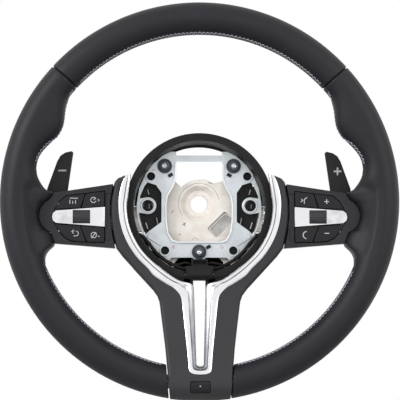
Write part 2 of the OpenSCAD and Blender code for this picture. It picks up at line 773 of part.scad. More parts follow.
module key_field() in_pod() polygon(concat(
    [for (p = key_top) p], [[bar_out + 4.4, 0]], reversed(key_low)));

module bar_outline() in_pod() polygon(concat(bar_top,
    [for (p = reversed(bar_top)) if (p[1] > 0) [p[0], -p[1]]]));

key_outlines = [
    [[key_top[1][0] + key_gap, key_top[1][1]], key_top[2], key_top[3], key_top[4],
        [split_top + key_gap, bar_half(split_top) + key_gap]],
    [key_top[0], [key_top[1][0] - key_gap, key_top[1][1]],
        [split_top - key_gap, bar_half(split_top) + key_gap], [bar_in, bar_half_in + key_gap]],
    [[key_low[1][0] + key_gap, key_low[1][1]], [split_low + key_gap, -bar_half(split_low) - key_gap],
        key_low[5], key_low[4], key_low[3], key_low[2]],
    [key_low[0], [bar_in, -bar_half_in - key_gap], [split_low - key_gap, -bar_half(split_low) - key_gap],
        [key_low[1][0] - key_gap, key_low[1][1]]]];
key_stems = [[119, 13.5], [97.5, 16.5], [117.5, -15.5], [97, -17]];

module key(side, i) color(soft_black) on_side(side) {
    chamfered(pod_f + key_rise, key_back, 0.5) in_pod() intersection() {
        polygon(key_outlines[i]);
        offset(delta = -key_gap) polygon(concat(key_top, reversed(key_low)));
    }
    rod(key_stems[i][0], key_stems[i][1] - pod_drop, key_back + 0.5,
        board_f + dome_h + key_travel + 0.2, 2.2);
}

module bezel(side) color(soft_black) on_side(side) difference() {
    slab(pod_f, pod_back_f) pod_outline(0);
    // Well for the keys, and the hollow behind the face
    slab(pod_f + 1, pod_back_f - 1) key_field();
    slab(pod_f - wall, pod_back_f - 1) difference() {
        pod_outline(2.2);
        offset(delta = 1.4) key_field();
    }
    slab(pod_f - 6, pod_back_f - 1) pod_outline(2.2);
    // Recess between the keys and the cover, and the step over the casting at the nose
    slab(pod_f + 1, pod_f - 1.6) in_pod() translate([82.4, -22]) square([7, 44]);
    translate([127, -48, -40]) cube([30, 20, 60]);
    slab(53, pod_back_f - 1) in_pod() translate([126, -13]) square([30, 26]);
}

module pod_back(side) color(black) on_side(side) difference() {
    union() {
        slab(pod_back_f, pod_back_f - pod_back_t) intersection() {
            pod_outline(1);
            translate([60, -60]) square([65.5, 90]);
        }
        for (x = pod_screw_x) rod(x, -pod_drop, pod_back_f, spoke_f, 4);
    }
    for (x = pod_screw_x) rod(x, -pod_drop, pod_back_f + 1, spoke_f - 1, pod_screw_r);
    translate([wire_x, -pod_back_f - 1, wire_z]) rotate([-90, 0, 0]) cylinder(h = 4, r = wire_out_r + 0.3);
}

// Silver bar: a shell on two legs, cut round the roller and open beside it
roller_half = roller_w / 2;
bar_front = pod_f + bar_rise;
bar_leg_x = [92, 122.5];
module bar(side) color(silver) on_side(side) {
    difference() {
        chamfered(bar_front, key_back - 2, 0.4) bar_outline();
        slab(bar_front - bar_wall, key_back - 3) offset(delta = -bar_wall) bar_outline();
        along_x(roller_x, roller_f, -pod_drop, roller_w + 2 * fit_gap, roller_r + fit_gap);
        slab(bar_front - bar_wall - 0.9, key_back - 3) in_pod()
            translate([roller_x - roller_half - fit_gap, -12]) square([roller_w + 2 * fit_gap, 24]);
    }
    for (x = bar_leg_x) slab(bar_front - bar_wall, board_f) in_pod() translate([x - 1.5, -3]) square([3, 6]);
}

module board(side) color([0.1, 0.3, 0.2]) on_side(side) {
    slab(board_f, board_f - board_t) intersection() {
        pod_outline(2.6);
        translate([86, -50]) square([39, 70]);
    }
    for (s = concat(key_stems, [[roller_x, 0]])) slab(board_f + dome_h, board_f)
        translate([s[0], s[1] - pod_drop]) square([5, 5], center = true);
}

module along_x(x, f, z, length, r)
    translate([x - length / 2, -f, z]) rotate([0, 90, 0]) cylinder(h = length, r = r);

module roller(side) color(black) on_side(side) difference() {
    translate([roller_x - roller_half, -roller_f, -pod_drop]) rotate([0, 90, 0])
        linear_extrude(roller_w) difference() {
            circle(roller_r);
            for (i = [0:rib_n - 1])
                rotate(360 * i / rib_n) translate([roller_r + 0.35, 0]) circle(0.8, $fn = 20);
        }
    along_x(roller_x, roller_f, -pod_drop, roller_w + 2, axle_r + run_gap);
}

// Yoke that carries the roller. The left one stands on the board; the right one is pressed onto the
// switch behind it.
yoke_t = 1.5;
yoke_f = roller_f - roller_r - fit_gap;
yoke_half = roller_half + 0.25 + yoke_t;
yoke_press = 0.5;
module yoke(side) color(soft_black) on_side(side) {
    for (x = [roller_x - yoke_half, roller_x + yoke_half - yoke_t]) slab(bar_front - bar_wall - 0.3, yoke_f)
        in_pod() translate([x, -5]) square([yoke_t, 10]);
    slab(yoke_f, yoke_f - 1.2) in_pod() translate([roller_x - yoke_half, -5]) square([2 * yoke_half, 10]);
    along_x(roller_x, roller_f, -pod_drop, roller_w + 1, axle_r);
    if (side == LEFT)
        for (x = [roller_x - yoke_half, roller_x + yoke_half - yoke_t]) slab(yoke_f, board_f)
            in_pod() translate([x, -5]) square([yoke_t, 10]);
    else
        rod(roller_x, -pod_drop, yoke_f, board_f + dome_h + yoke_press + 0.1, 2);
}

// Paddle blade on the right, seen from the driver
blade = [
    [125.5, 3], [125.5, 12], [122, 30], [119.3, 47.5], [121, 49], [127, 47.6], [131.5, 44.6],
    [134.5, 39.5], [139, 27], [144, 13], [144, 9], [138, 3]];
module paddle(side) color(black) on_side(side) difference() {
    union() {
        chamfered(paddle_f, paddle_f - paddle_t, 1) polygon(blade);
        slab(paddle_f - 0.4, paddle_f - paddle_t)
            polygon([[pivot_x, knuckle_z], [128, 3], [128, 11], [100, knuckle_z + knuckle_h],
                [pivot_x, knuckle_z + knuckle_h]]);
        translate([pivot_x, -pin_f, knuckle_z]) cylinder(h = knuckle_h, r = 3.4);
    }
    translate([pivot_x, -pin_f, -5]) cylinder(h = 25, r = pivot_r + run_gap);
}

// Carrier on top of the side spoke: a foot, an upright and an ear that hold the pin at both ends
pin_f = paddle_f - paddle_t / 2;
carrier_in = pivot_x - 7;
carrier_t = 2.4;
knuckle_h = 6.4;
knuckle_z = spoke_top + carrier_t + 0.2;
carrier_h = 2 * carrier_t + knuckle_h + 0.4;
module paddle_carrier(side) color(black) on_side(side) difference() {
    translate([carrier_in, -36, spoke_top]) union() {
        cube([24, 16, carrier_t]);
        cube([carrier_t, 16, carrier_h]);
        translate([0, 6, carrier_h - carrier_t]) cube([12, 10, carrier_t]);
    }
    translate([pivot_x, -pin_f, -20]) cylinder(h = 50, r = pivot_r);
}

module paddle_pins() color(steel) on_both()
    translate([pivot_x, -pin_f, spoke_top + 0.1]) cylinder(h = carrier_h - 0.2, r = pivot_r);

module paddle_switches() color([0.2, 0.2, 0.22]) on_both()
    translate([carrier_in + 15, -36, spoke_top + carrier_t]) {
        cube([8, 5, 6.5]);
        translate([3, 5, 2]) cube([2, 2.3, 2]);
    }

module foot_button() color(black) {
    intersection() {
        slab(90, rim_f + 12) foot_opening(0);
        across(-20, 20) low_side();
    }
    rod(0, foot_z, rim_f + 12.5, foot_board_f + dome_h + key_travel + 0.2, 2.5);
}

// Board on the front of the cast ring, with the button's switch
foot_board_f = rim_f + ring_w / 2 + 1.2;
module foot_switch() color([0.1, 0.3, 0.2]) translate([0, 0, foot_z]) {
    slab(foot_board_f, foot_board_f - 1.2) square([26, 10], center = true);
    slab(foot_board_f + dome_h, foot_board_f) square([6, 6], center = true);
}

module control_module() color(black) {
    slab(module_f, module_back) translate([-module_w / 2, module_low])
        square([module_w, module_top - module_low]);
    slab(module_f + 2, module_f) translate([2 - module_w / 2, module_low + 1.5])
        square([module_w - 4, 6.5]);
}

// Plug of the harness, standing on the control module
module harness_plug() color(black) difference() {
    slab(44, 28) translate([-7.5, module_top]) square([15, 6.5]);
    slab(45, 38) translate([-6, module_top + 1.5]) square([12, 3.5]);
}

// Sleeved wires: along the wall of the bowl, through it and up to the pod's board
wire_out_r = 1.8;
wire_x = 88;
wire_z = -31;
wire_f = part_f - 6.5;
module pod_wire(side) color(black) on_side(side) swept([
    [module_w / 2, -wire_f - 2, -62.4], [16, -wire_f - 2, -62.4], [20, -wire_f - 1.5, -61],
    [30, -wire_f, -56.2], [41, -wire_f, -47.2], [48.5, -wire_f, -37.6], [56, 0.5 - wire_f, -30.8],
    [66, 0.5 - wire_f, -30.8], [78, -wire_f, -31], [84.5, -wire_f - 1, wire_z],
    [wire_x - 0.6, -wire_f - 3.5, wire_z], [wire_x, -min(wire_f + 6, pod_back_f - 1), wire_z],
    [wire_x, -pod_back_f, wire_z]], wire_out_r);

module pod_screws() color(steel) on_both() for (x = pod_screw_x) {
    rod(x, -pod_drop, pod_back_f - 0.5, channel_f, pod_screw_r);
    rod(x, -pod_drop, channel_f, channel_f - 1.6, 3);
}

module cover_screws() color(steel) on_both() {
    rod(cover_screw[0], cover_screw[1], part_f + 6, arm_floor, cover_screw_r);
    rod(cover_screw[0], cover_screw[1], arm_floor, arm_floor - 1.5, 2 * cover_screw_r);
}

armature();
rim_ring();
hub_insert();
rim_foam();
leather_top();
leather_side(LEFT);  // leather_left
leather_side(RIGHT);  // leather_right
rear_cover();
arm_back(LEFT);  // left_arm_back
arm_back(RIGHT);  // right_arm_back
lower_spoke_back();
lower_cover();
silver_trim();
airbag_carrier();
insulating_frame();
horn_bushes();
guide_bolts();
retaining_clips();
horn_spring(bushes[0]);  // horn_spring_left
horn_spring(bushes[1]);  // horn_spring_right
horn_spring(bushes[2]);  // horn_spring_lower
bezel(LEFT);  // left_bezel
bezel(RIGHT);  // right_bezel
pod_back(LEFT);  // left_pod_back
pod_back(RIGHT);  // right_pod_back
bar(LEFT);  // left_bar
bar(RIGHT);  // right_bar
key(LEFT, 0);  // left_key_top_outer
key(LEFT, 1);  // left_key_top_inner
key(LEFT, 2);  // left_key_low_outer
key(LEFT, 3);  // left_key_low_inner
key(RIGHT, 0);  // right_key_top_outer
key(RIGHT, 1);  // right_key_top_inner
key(RIGHT, 2);  // right_key_low_outer
key(RIGHT, 3);  // right_key_low_inner
board(LEFT);  // left_board
board(RIGHT);  // right_board
roller(LEFT);  // left_roller
roller(RIGHT);  // right_roller
yoke(LEFT);  // left_yoke
yoke(RIGHT);  // right_yoke
paddle(LEFT);  // left_paddle
paddle(RIGHT);  // right_paddle
paddle_carrier(LEFT);  // left_paddle_carrier
paddle_carrier(RIGHT);  // right_paddle_carrier
paddle_pins();
paddle_switches();
foot_button();
foot_switch();
control_module();
harness_plug();
pod_wire(LEFT);  // left_wire
pod_wire(RIGHT);  // right_wire
pod_screws();
cover_screws();
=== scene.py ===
# %% [markdown]
# # Dressing a leather steering wheel
# The wheel comes in as a fixed frame of solid parts, measured and already in place. This lesson gives
# each part the shape and finish that the eye expects: leather with a sewn joint, soft black covers,
# bright silver trim, a zinc-plated airbag carrier and a raw cast hub. Nothing in the frame is moved.

# %% Load the frame
import json
import math

import bmesh
import bpy
from mathutils import Matrix, Vector


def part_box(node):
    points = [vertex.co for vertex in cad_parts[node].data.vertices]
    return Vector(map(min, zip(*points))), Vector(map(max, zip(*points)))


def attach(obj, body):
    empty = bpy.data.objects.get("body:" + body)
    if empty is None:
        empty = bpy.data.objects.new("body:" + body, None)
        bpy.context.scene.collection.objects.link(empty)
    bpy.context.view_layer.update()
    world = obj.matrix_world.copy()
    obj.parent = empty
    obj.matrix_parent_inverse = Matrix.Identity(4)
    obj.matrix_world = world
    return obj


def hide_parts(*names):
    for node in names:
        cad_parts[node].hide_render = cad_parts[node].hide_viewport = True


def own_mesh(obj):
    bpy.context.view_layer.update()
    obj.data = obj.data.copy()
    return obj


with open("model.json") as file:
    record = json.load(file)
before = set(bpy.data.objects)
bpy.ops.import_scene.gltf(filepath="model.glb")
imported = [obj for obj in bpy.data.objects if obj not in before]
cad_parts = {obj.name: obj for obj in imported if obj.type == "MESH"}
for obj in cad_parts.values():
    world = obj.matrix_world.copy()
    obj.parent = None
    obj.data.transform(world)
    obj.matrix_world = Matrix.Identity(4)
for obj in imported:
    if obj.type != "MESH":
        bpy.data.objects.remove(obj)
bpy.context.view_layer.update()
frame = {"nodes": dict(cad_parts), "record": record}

nodes = frame["nodes"]
record = frame["record"]
body_of = {n: b for b, members in record["behaviour"]["bodies"].items() for n in members}
scene = bpy.context.scene

# %% [markdown]
# ## Places on the wheel
# A wheel is drawn from the driver's seat, so each place is written as a distance to the right, a depth
# towards the driver and a height, in millimetres. One helper turns that into the frame's metres. Doing
# this once keeps every later number readable against a drawing.

# %% Turn a drawing's millimetres into the frame's metres
def spot(x, f, z):
    return Vector((x, -f, z)) / 1000


rim_out = 185.0
rim_in = 154.7
rim_mid = 169.85
rim_f = 62.0
rim_depth = 33.0
pod_f = 57.0
well_z = -5.0
top_leather_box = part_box("leather_top")
print("rim's half width from the frame:", round(top_leather_box[1].z * 1000, 1), "mm")

# %% [markdown]
# ## Curves through a few chosen points
# Leather, trim and wires all follow smooth lines that are easiest to give by a handful of points. A
# spline through them adds the points between. It passes through every given point, so the line stays
# where the drawing says.

# %% Smooth lines and soft steps
def soft_step(t):
    c = min(max(t, 0.0), 1.0)
    return c * c * (3 - 2 * c)


def flowing(points, parts):
    line = []
    last = len(points) - 1
    for i in range(last):
        a, b = points[max(i - 1, 0)], points[i]
        c, d = points[i + 1], points[min(i + 2, last)]
        for k in range(parts):
            t = k / parts
            line.append(tuple(
                0.5 * (2 * q + (r - p) * t + (2 * p - 5 * q + 4 * r - s) * t ** 2
                       + (3 * q - p - 3 * r + s) * t ** 3)
                for p, q, r, s in zip(a, b, c, d)))
    line.append(tuple(points[last]))
    return line


def along(table, at):
    for (a, va), (b, vb) in zip(table, table[1:]):
        if at <= b:
            return va + (vb - va) * max(0.0, (at - a) / (b - a))
    return table[-1][1]


print("a flowing line of 3 points in 4 parts has", len(flowing([(0, 0), (1, 1), (2, 0)], 4)), "points")

# %% [markdown]
# ## From loose mesh to finished piece
# Every piece ends the same way: its mesh becomes an object, gets its finish, rides on its body and
# stands for the solid that it dresses. Smooth shading with sharp edges kept, and normals weighted by
# face size, make flat faces look flat right up to their rounded edges.

# %% Hand a mesh over as a finished piece
def finish_piece(name, bm, look, part=None, body=None, sharp=38, weighted=True):
    mesh = bpy.data.meshes.new(name)
    bm.to_mesh(mesh)
    bm.free()
    mesh.polygons.foreach_set("use_smooth", [True] * len(mesh.polygons))
    mesh.set_sharp_from_angle(angle=math.radians(sharp))
    piece = bpy.data.objects.new(name, mesh)
    scene.collection.objects.link(piece)
    for one in look if isinstance(look, list) else [look]:
        mesh.materials.append(one)
    if weighted:
        even = piece.modifiers.new("weighted normals", "WEIGHTED_NORMAL")
        even.keep_sharp = True
    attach(piece, body or body_of[part])
    if part:
        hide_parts(part)
    return piece


# %% [markdown]
# ## Surfaces
# A moulded or cast surface is never one flat colour. Each finish here drifts between two close tones,
# its gloss drifts along, and a fine relief catches the light. All patterns are in metres on the object,
# so a grain of 0.8 mm is written as it is measured. Colours are given as a paint chart shows them.

# %% Build a surface from two tones
def tone(r, g, b):
    def linear(v):
        v = v / 255
        return v / 12.92 if v <= 0.04045 else ((v + 0.055) / 1.055) ** 2.4
    return (linear(r), linear(g), linear(b), 1.0)


def surface(name, deep, pale, patch, gloss, level=0.5, metal=0.0):
    made = bpy.data.materials.new(name)
    made.use_nodes = True
    tree = made.node_tree
    shader = tree.nodes["Principled BSDF"]
    shader.inputs["Metallic"].default_value = metal
    shader.inputs["Specular IOR Level"].default_value = level
    where = tree.nodes.new("ShaderNodeTexCoord")
    drift = tree.nodes.new("ShaderNodeTexNoise")
    drift.inputs["Scale"].default_value = 1000 / patch
    drift.inputs["Detail"].default_value = 4
    tree.links.new(where.outputs["Object"], drift.inputs["Vector"])
    tones = tree.nodes.new("ShaderNodeValToRGB")
    tones.color_ramp.elements[0].position = 0.36
    tones.color_ramp.elements[0].color = tone(*deep)
    tones.color_ramp.elements[1].position = 0.64
    tones.color_ramp.elements[1].color = tone(*pale)
    tree.links.new(drift.outputs["Fac"], tones.inputs["Fac"])
    tree.links.new(tones.outputs["Color"], shader.inputs["Base Color"])
    sheen = tree.nodes.new("ShaderNodeMapRange")
    sheen.inputs["From Min"].default_value = 0.3
    sheen.inputs["From Max"].default_value = 0.7
    sheen.inputs["To Min"].default_value = gloss[0]
    sheen.inputs["To Max"].default_value = gloss[1]
    tree.links.new(drift.outputs["Fac"], sheen.inputs["Value"])
    tree.links.new(sheen.outputs["Result"], shader.inputs["Roughness"])
    return made


# %% Add relief to a surface, in millimetres
def relief(made, kind, size, height, stretch=(1, 1, 1)):
    tree = made.node_tree
    shader = tree.nodes["Principled BSDF"]
    where = next(n for n in tree.nodes if n.type == "TEX_COORD")
    fit = tree.nodes.new("ShaderNodeMapping")
    fit.inputs["Scale"].default_value = [1000 / size * s for s in stretch]
    tree.links.new(where.outputs["Object"], fit.inputs["Vector"])
    if kind == "cells":
        grain = tree.nodes.new("ShaderNodeTexVoronoi")
        out = grain.outputs["Distance"]
    else:
        grain = tree.nodes.new("ShaderNodeTexNoise")
        grain.inputs["Detail"].default_value = 3
        out = grain.outputs["Fac"]
    grain.inputs["Scale"].default_value = 1.0
    tree.links.new(fit.outputs["Vector"], grain.inputs["Vector"])
    bump = tree.nodes.new("ShaderNodeBump")
    bump.inputs["Strength"].default_value = 1.0
    bump.inputs["Distance"].default_value = height / 1000
    tree.links.new(out, bump.inputs["Height"])
    before = shader.inputs["Normal"].links
    if before:
        tree.links.new(before[0].from_socket, bump.inputs["Normal"])
    tree.links.new(bump.outputs["Normal"], shader.inputs["Normal"])


# %% [markdown]
# ## The finishes of this wheel
# Black is many materials here: violet-black leather with a pebbled grain, soft-touch covers with an
# eggshell sheen, harder moulded plastic and satin keys. A black surface gets most of its brightness
# from what it mirrors, so the written colours are deep and the mirror strength is kept low.

# %% Leather, thread and foam
leather = surface("leather_grain", (17, 16, 24), (24, 23, 31), 40, (0.46, 0.56), 0.4)
relief(leather, "cells", 1.1, 0.09)
relief(leather, "noise", 6.0, 0.12)
relief(leather, "noise", 0.35, 0.02)
thread = surface("violet_grey_thread", (168, 164, 176), (198, 194, 206), 2, (0.6, 0.75), 0.3)
relief(thread, "noise", 0.25, 0.05)
foam = surface("rim_foam_skin", (20, 20, 21), (28, 28, 29), 8, (0.8, 0.9), 0.2)
relief(foam, "cells", 0.7, 0.1)

# %% Black plastics
soft_cover = surface("soft_touch_cover", (41, 41, 44), (47, 47, 50), 60, (0.46, 0.54), 0.42)
relief(soft_cover, "cells", 0.45, 0.012)
hard_black = surface("moulded_black", (15, 15, 16), (21, 21, 22), 18, (0.45, 0.6), 0.3)
relief(hard_black, "noise", 0.8, 0.02)
bezel_black = surface("bezel_black", (32, 32, 36), (38, 38, 42), 30, (0.42, 0.5), 0.35)
relief(bezel_black, "cells", 0.4, 0.01)
key_black = surface("key_satin", (17, 17, 21), (22, 22, 26), 12, (0.42, 0.5), 0.35)
relief(key_black, "cells", 0.35, 0.01)
roller_black = surface("ribbed_roller", (30, 30, 33), (40, 40, 44), 4, (0.24, 0.34), 0.7)
relief(roller_black, "noise", 0.6, 0.01)
paddle_black = surface("paddle_satin", (22, 21, 24), (27, 26, 29), 25, (0.36, 0.44), 0.35)
relief(paddle_black, "cells", 0.4, 0.008)
sleeve = surface("wire_sleeve", (17, 17, 18), (27, 27, 28), 3, (0.6, 0.75), 0.25)
relief(sleeve, "noise", 0.5, 0.08)
bush_grey = surface("bush_slate", (58, 64, 68), (70, 76, 80), 4, (0.4, 0.5), 0.4)
relief(bush_grey, "noise", 0.4, 0.02)

# %% Metals, boards and marks
silver = surface("satin_silver", (232, 232, 235), (242, 242, 244), 30, (0.16, 0.24), 0.5, 1.0)
relief(silver, "noise", 3.0, 0.002)
# A greyer copy of the silver, as painted reflection of darker parts of a room.
trim_painted_reflection = surface("silver_painted_reflection", (168, 169, 173), (192, 193, 197), 16, (0.2, 0.28), 0.5,
                       1.0)
relief(trim_painted_reflection, "noise", 2.0, 0.002)
# Streaks in relief, with darker tones as painted reflection, for the bars' outer part.
bar_streaks_and_painted_reflection = surface("silver_streaks_and_painted_reflection", (212, 213, 216), (242, 242, 244), 9, (0.2, 0.3), 0.5, 1.0)
relief(bar_streaks_and_painted_reflection, "noise", 1.0, 0.03, (0.1, 1, 2.2))
zinc = surface("zinc_plate", (203, 209, 213), (220, 225, 228), 14, (0.36, 0.46), 0.5, 0.75)
relief(zinc, "noise", 1.6, 0.012)
# A brighter zinc, as painted highlight on the front of the turned-up edge.
zinc_edge_painted_highlight = surface("turned_lip_painted_highlight", (238, 241, 243), (247, 249, 250), 9, (0.3, 0.4), 0.5,
                   0.6)
relief(zinc_edge_painted_highlight, "noise", 1.2, 0.01)
cast = surface("raw_casting", (233, 226, 217), (248, 243, 236), 11, (0.5, 0.7), 0.4, 0.05)
relief(cast, "noise", 2.2, 0.09)
relief(cast, "cells", 0.7, 0.03)
# A darker casting tone as painted shade, for the pocket's floor and the ring round the boss.
casting_painted_shade = surface("cast_painted_shade", (176, 174, 171), (196, 194, 190), 6, (0.55, 0.7), 0.4, 0.05)
relief(casting_painted_shade, "noise", 1.2, 0.06)
scuff = surface("casting_scuff", (104, 97, 90), (132, 124, 116), 2, (0.6, 0.8), 0.3)
relief(scuff, "noise", 0.6, 0.05)
steel = surface("drawn_steel", (176, 177, 180), (196, 197, 200), 6, (0.28, 0.38), 0.5, 1.0)
relief(steel, "noise", 0.6, 0.01)
pale_steel = surface("pale_insert", (232, 223, 216), (246, 239, 233), 5, (0.4, 0.55), 0.5, 0.4)
relief(pale_steel, "noise", 0.8, 0.03)
# Bright steel for screws and clips, also used as a painted highlight in the bolt sockets.
bright = surface("bright_steel", (222, 223, 225), (238, 238, 240), 5, (0.18, 0.28), 0.5,
                 1.0)
relief(bright, "noise", 0.5, 0.01)
dark_head = surface("phosphated_head", (70, 77, 82), (86, 93, 97), 3, (0.34, 0.44), 0.5,
                    0.6)
relief(dark_head, "noise", 0.5, 0.015)
board_green = surface("board_green", (22, 70, 44), (28, 82, 52), 6, (0.35, 0.5), 0.5)
relief(board_green, "cells", 2.5, 0.03)
pale_mark = surface("pale_mark", (188, 189, 192), (206, 207, 210), 3, (0.5, 0.6), 0.4)
relief(pale_mark, "noise", 0.3, 0.01)
# A pale grey for painted highlights on the frame's ribs and sockets.
rib_edge_painted_highlight = surface("worn_rib_edge", (150, 152, 154), (196, 198, 200), 2, (0.4, 0.55), 0.4)
relief(rib_edge_painted_highlight, "noise", 0.4, 0.02)
red_mark = surface("red_paint_mark", (186, 52, 60), (206, 92, 98), 1.2, (0.5, 0.65), 0.4)
relief(red_mark, "noise", 0.4, 0.03)

# %% [markdown]
# ## Easing the edges of rigid parts
# The solids have knife edges, which no moulding or pressing has. A copy of the solid has its doubled
# points merged and its flat areas joined, and then its sharp edges are bevelled. A wider bevel can be
# asked for on chosen edges first, such as the outer corner of a cover. Rebuilding each part by hand
# would give the same shape with more ways to miss its size.

# %% Copy a solid and round its edges
def copied(part):
    bm = bmesh.new()
    bm.from_mesh(nodes[part].data)
    bmesh.ops.remove_doubles(bm, verts=bm.verts, dist=0.00001)
    bmesh.ops.dissolve_limit(bm, angle_limit=math.radians(0.6), verts=bm.verts, edges=bm.edges)
    return bm


def has_room(e, width):
    for loop in e.link_loops:
        for corner, beside in ((loop, loop.link_loop_prev), (loop.link_loop_next, loop.link_loop_next)):
            bend = corner.calc_angle()
            reach = width / 1000 / max(math.tan(bend / 2), 0.01)
            if reach > 0.45 * min(e.calc_length(), beside.edge.calc_length()):
                return False
    return True


def round_edges(bm, width, steps, chosen=None, angle=34):
    edges = [e for e in bm.edges if e.is_manifold and e.calc_face_angle() > math.radians(angle)
             and (chosen(e) if chosen else has_room(e, width))]
    bmesh.ops.bevel(bm, geom=edges, offset=width / 1000, offset_type="OFFSET", segments=steps,
                    profile=0.5, affect="EDGES", clamp_overlap=False, material=-1)
    return len(edges)


def eased(part, look, width=0.3, steps=2, wide=None, chosen=None, tight=None):
    bm = copied(part)
    if wide:
        round_edges(bm, wide, 4, chosen)
    count = round_edges(bm, width, steps, tight)
    piece = finish_piece(part + "_eased", bm, look, part)
    print(part, count, "edges eased,", len(piece.data.polygons), "faces")
    return piece


# %% [markdown]
# ## A skin through many sections
# The leather and the trim change shape all along their length. A circle is spun part of the way round
# an axis, which gives a tube with the right number of rings, and then each ring is moved onto its own
# section. The spin keeps the faces in order, so only the places have to be worked out.

# %% Spin a tube and fit it to its sections
def skinned(sections, capped=True):
    count, rings = len(sections[0]), len(sections)
    turn = math.radians(300) / (rings - 1)
    bm = bmesh.new()
    hoop = bmesh.ops.create_circle(bm, segments=count, radius=1.0)["verts"]
    bmesh.ops.rotate(bm, verts=hoop, cent=(0, 0, 0), matrix=Matrix.Rotation(math.radians(90), 3, "X"))
    bmesh.ops.translate(bm, verts=hoop, vec=(3, 0, 0))
    first = math.atan2(hoop[0].co.z, hoop[0].co.x - 3)
    bmesh.ops.spin(bm, geom=hoop + list(bm.edges), cent=(0, 0, 0), axis=(0, 0, 1), dvec=(0, 0, 0),
                   angle=turn * (rings - 1), steps=rings - 1, use_merge=False, use_duplicate=False)
    for v in bm.verts:
        ring = round(((math.atan2(v.co.y, v.co.x) + 0.1) % math.tau - 0.1) / turn)
        step = (math.atan2(v.co.z, math.hypot(v.co.x, v.co.y) - 3) - first) % math.tau
        v.co = sections[ring][round(step / (math.tau / count)) % count]
    if capped:
        bmesh.ops.holes_fill(bm, edges=[e for e in bm.edges if e.is_boundary], sides=0)
    bmesh.ops.recalc_face_normals(bm, faces=bm.faces)
    return bm


# %% [markdown]
# ## The leather's path round the rim
# The rim is an oval tube. Above 9 and 3 o'clock the tube swells inwards into a thumb grip, and beside
# each spoke it thickens into a root that the pod's frame sits in. A station holds the angle, the inner
# radius, how far the section has turned into that root and the slant of the end. Later a fifth number
# says how far the edge is tucked under. The three wraps are three runs of stations.

# %% Stations of the rim
pod_top_corner = (135.5, 7.0)
pod_low_corner = (134.5, -40.0)
seam = 42.2
seam_half = 0.135
grip_h = 10.8


def grip_in(a):
    return rim_in - grip_h * (soft_step((a - 141) / 12) - soft_step((a - 153.5) / 13))


def root_station(x, z):
    return (180 - math.degrees(math.atan2(z, x)), math.hypot(x, z), 0.0)


def corner_station(a, share, corner):
    return (a, rim_in + (math.hypot(*corner) - rim_in) * share, 0.0)


def root_share(a):
    return soft_step((a - 171.4) / 6) * (1 - soft_step((a - 196.6) / 7))


nose_x = 133
nose_z = -14.2
nose_r = 16.5
nose = [(nose_x + nose_r * math.cos(math.radians(t)), nose_z + nose_r * math.sin(math.radians(t)))
        for t in range(65, -72, -17)]
upper_angles = [180 - seam + seam_half + i * (169 - 138) / 22 for i in range(23)]
upper_run = [(a, grip_in(a), 0.0) for a in upper_angles]
root_run = ([corner_station(171.5, 0.12, pod_top_corner), corner_station(174, 0.34, pod_top_corner),
             corner_station(176.1, 0.62, pod_top_corner), root_station(*pod_top_corner)]
            + [root_station(*p) for p in nose] + [root_station(*pod_low_corner)]
            + [corner_station(198, 0.6, pod_low_corner), corner_station(199, 0.32, pod_low_corner),
               corner_station(200.6, 0.12, pod_low_corner)])
lower_run = [(a, rim_in, 2.7 * soft_step((a - 254.5) / 6.6))
             for a in [203 + i * (261.1 - 203) / 30 for i in range(31)]]
side_stations = [(a, r, root_share(a), skew) for a, r, skew in upper_run + flowing(root_run, 3) + lower_run]
top_stations = [(a, rim_in, 0.0, 0.0)
                for a in [seam + seam_half + i * (180 - 2 * seam - 2 * seam_half) / 56 for i in range(57)]]


def tucked(stations):
    (a, r, w, s), (b, p, v, t) = stations[0], stations[-1]
    start = [(a, r, w, s, 1.3), (a + 0.05, r, w, s, 0.5), (a + 0.18, r, w, s, 0.12), (a + 0.42, r, w, s, 0)]
    end = [(b - 0.42, p, v, t, 0), (b - 0.18, p, v, t, 0.12), (b - 0.05, p, v, t, 0.5), (b, p, v, t, 1.3)]
    return start + [(*one, 0) for one in stations[1:-1]] + end


def other_side(stations):
    return [(180 - a, r, w, -s) for a, r, w, s in reversed(stations)]


print(len(side_stations), "stations on each side,", len(top_stations), "on top")

# %% [markdown]
# ## One section of the leather
# A section is an oval. Where the spoke's root begins, its inner half blends into a shelf that the pod's
# frame rests against. A shallow groove at the sewn joint is pressed in where the two edges of the
# leather meet. On the thumb grip the joint passes behind, out of the driver's sight. The same function
# places the stitches later, so thread and groove always agree.

# %% Section of the leather at a station
joint_at = 69
joint_half = 1.6
joint_depth = 0.55
behind_turn = 38
root_front_f = pod_f + 2.4
root_rear_f = 34
inner_turns = [0, 6, 12, 18, 24, 30, 37, 44, 51, 57, 62, 65.5, 67.7, 69, 70.3, 72.5, 76, 81, 87, 93, 100,
               108, 116, 124, 132, 140, 148, 156, 164, 172, 180]
outer_turns = [190, 202, 214, 226, 238, 250, 262, 270, 278, 290, 302, 314, 326, 338, 350]


def behind_grip(a):
    around = a if a > 90 else 180 - a
    return soft_step((around - 140) / 6) * (1 - soft_step((around - 154) / 6))


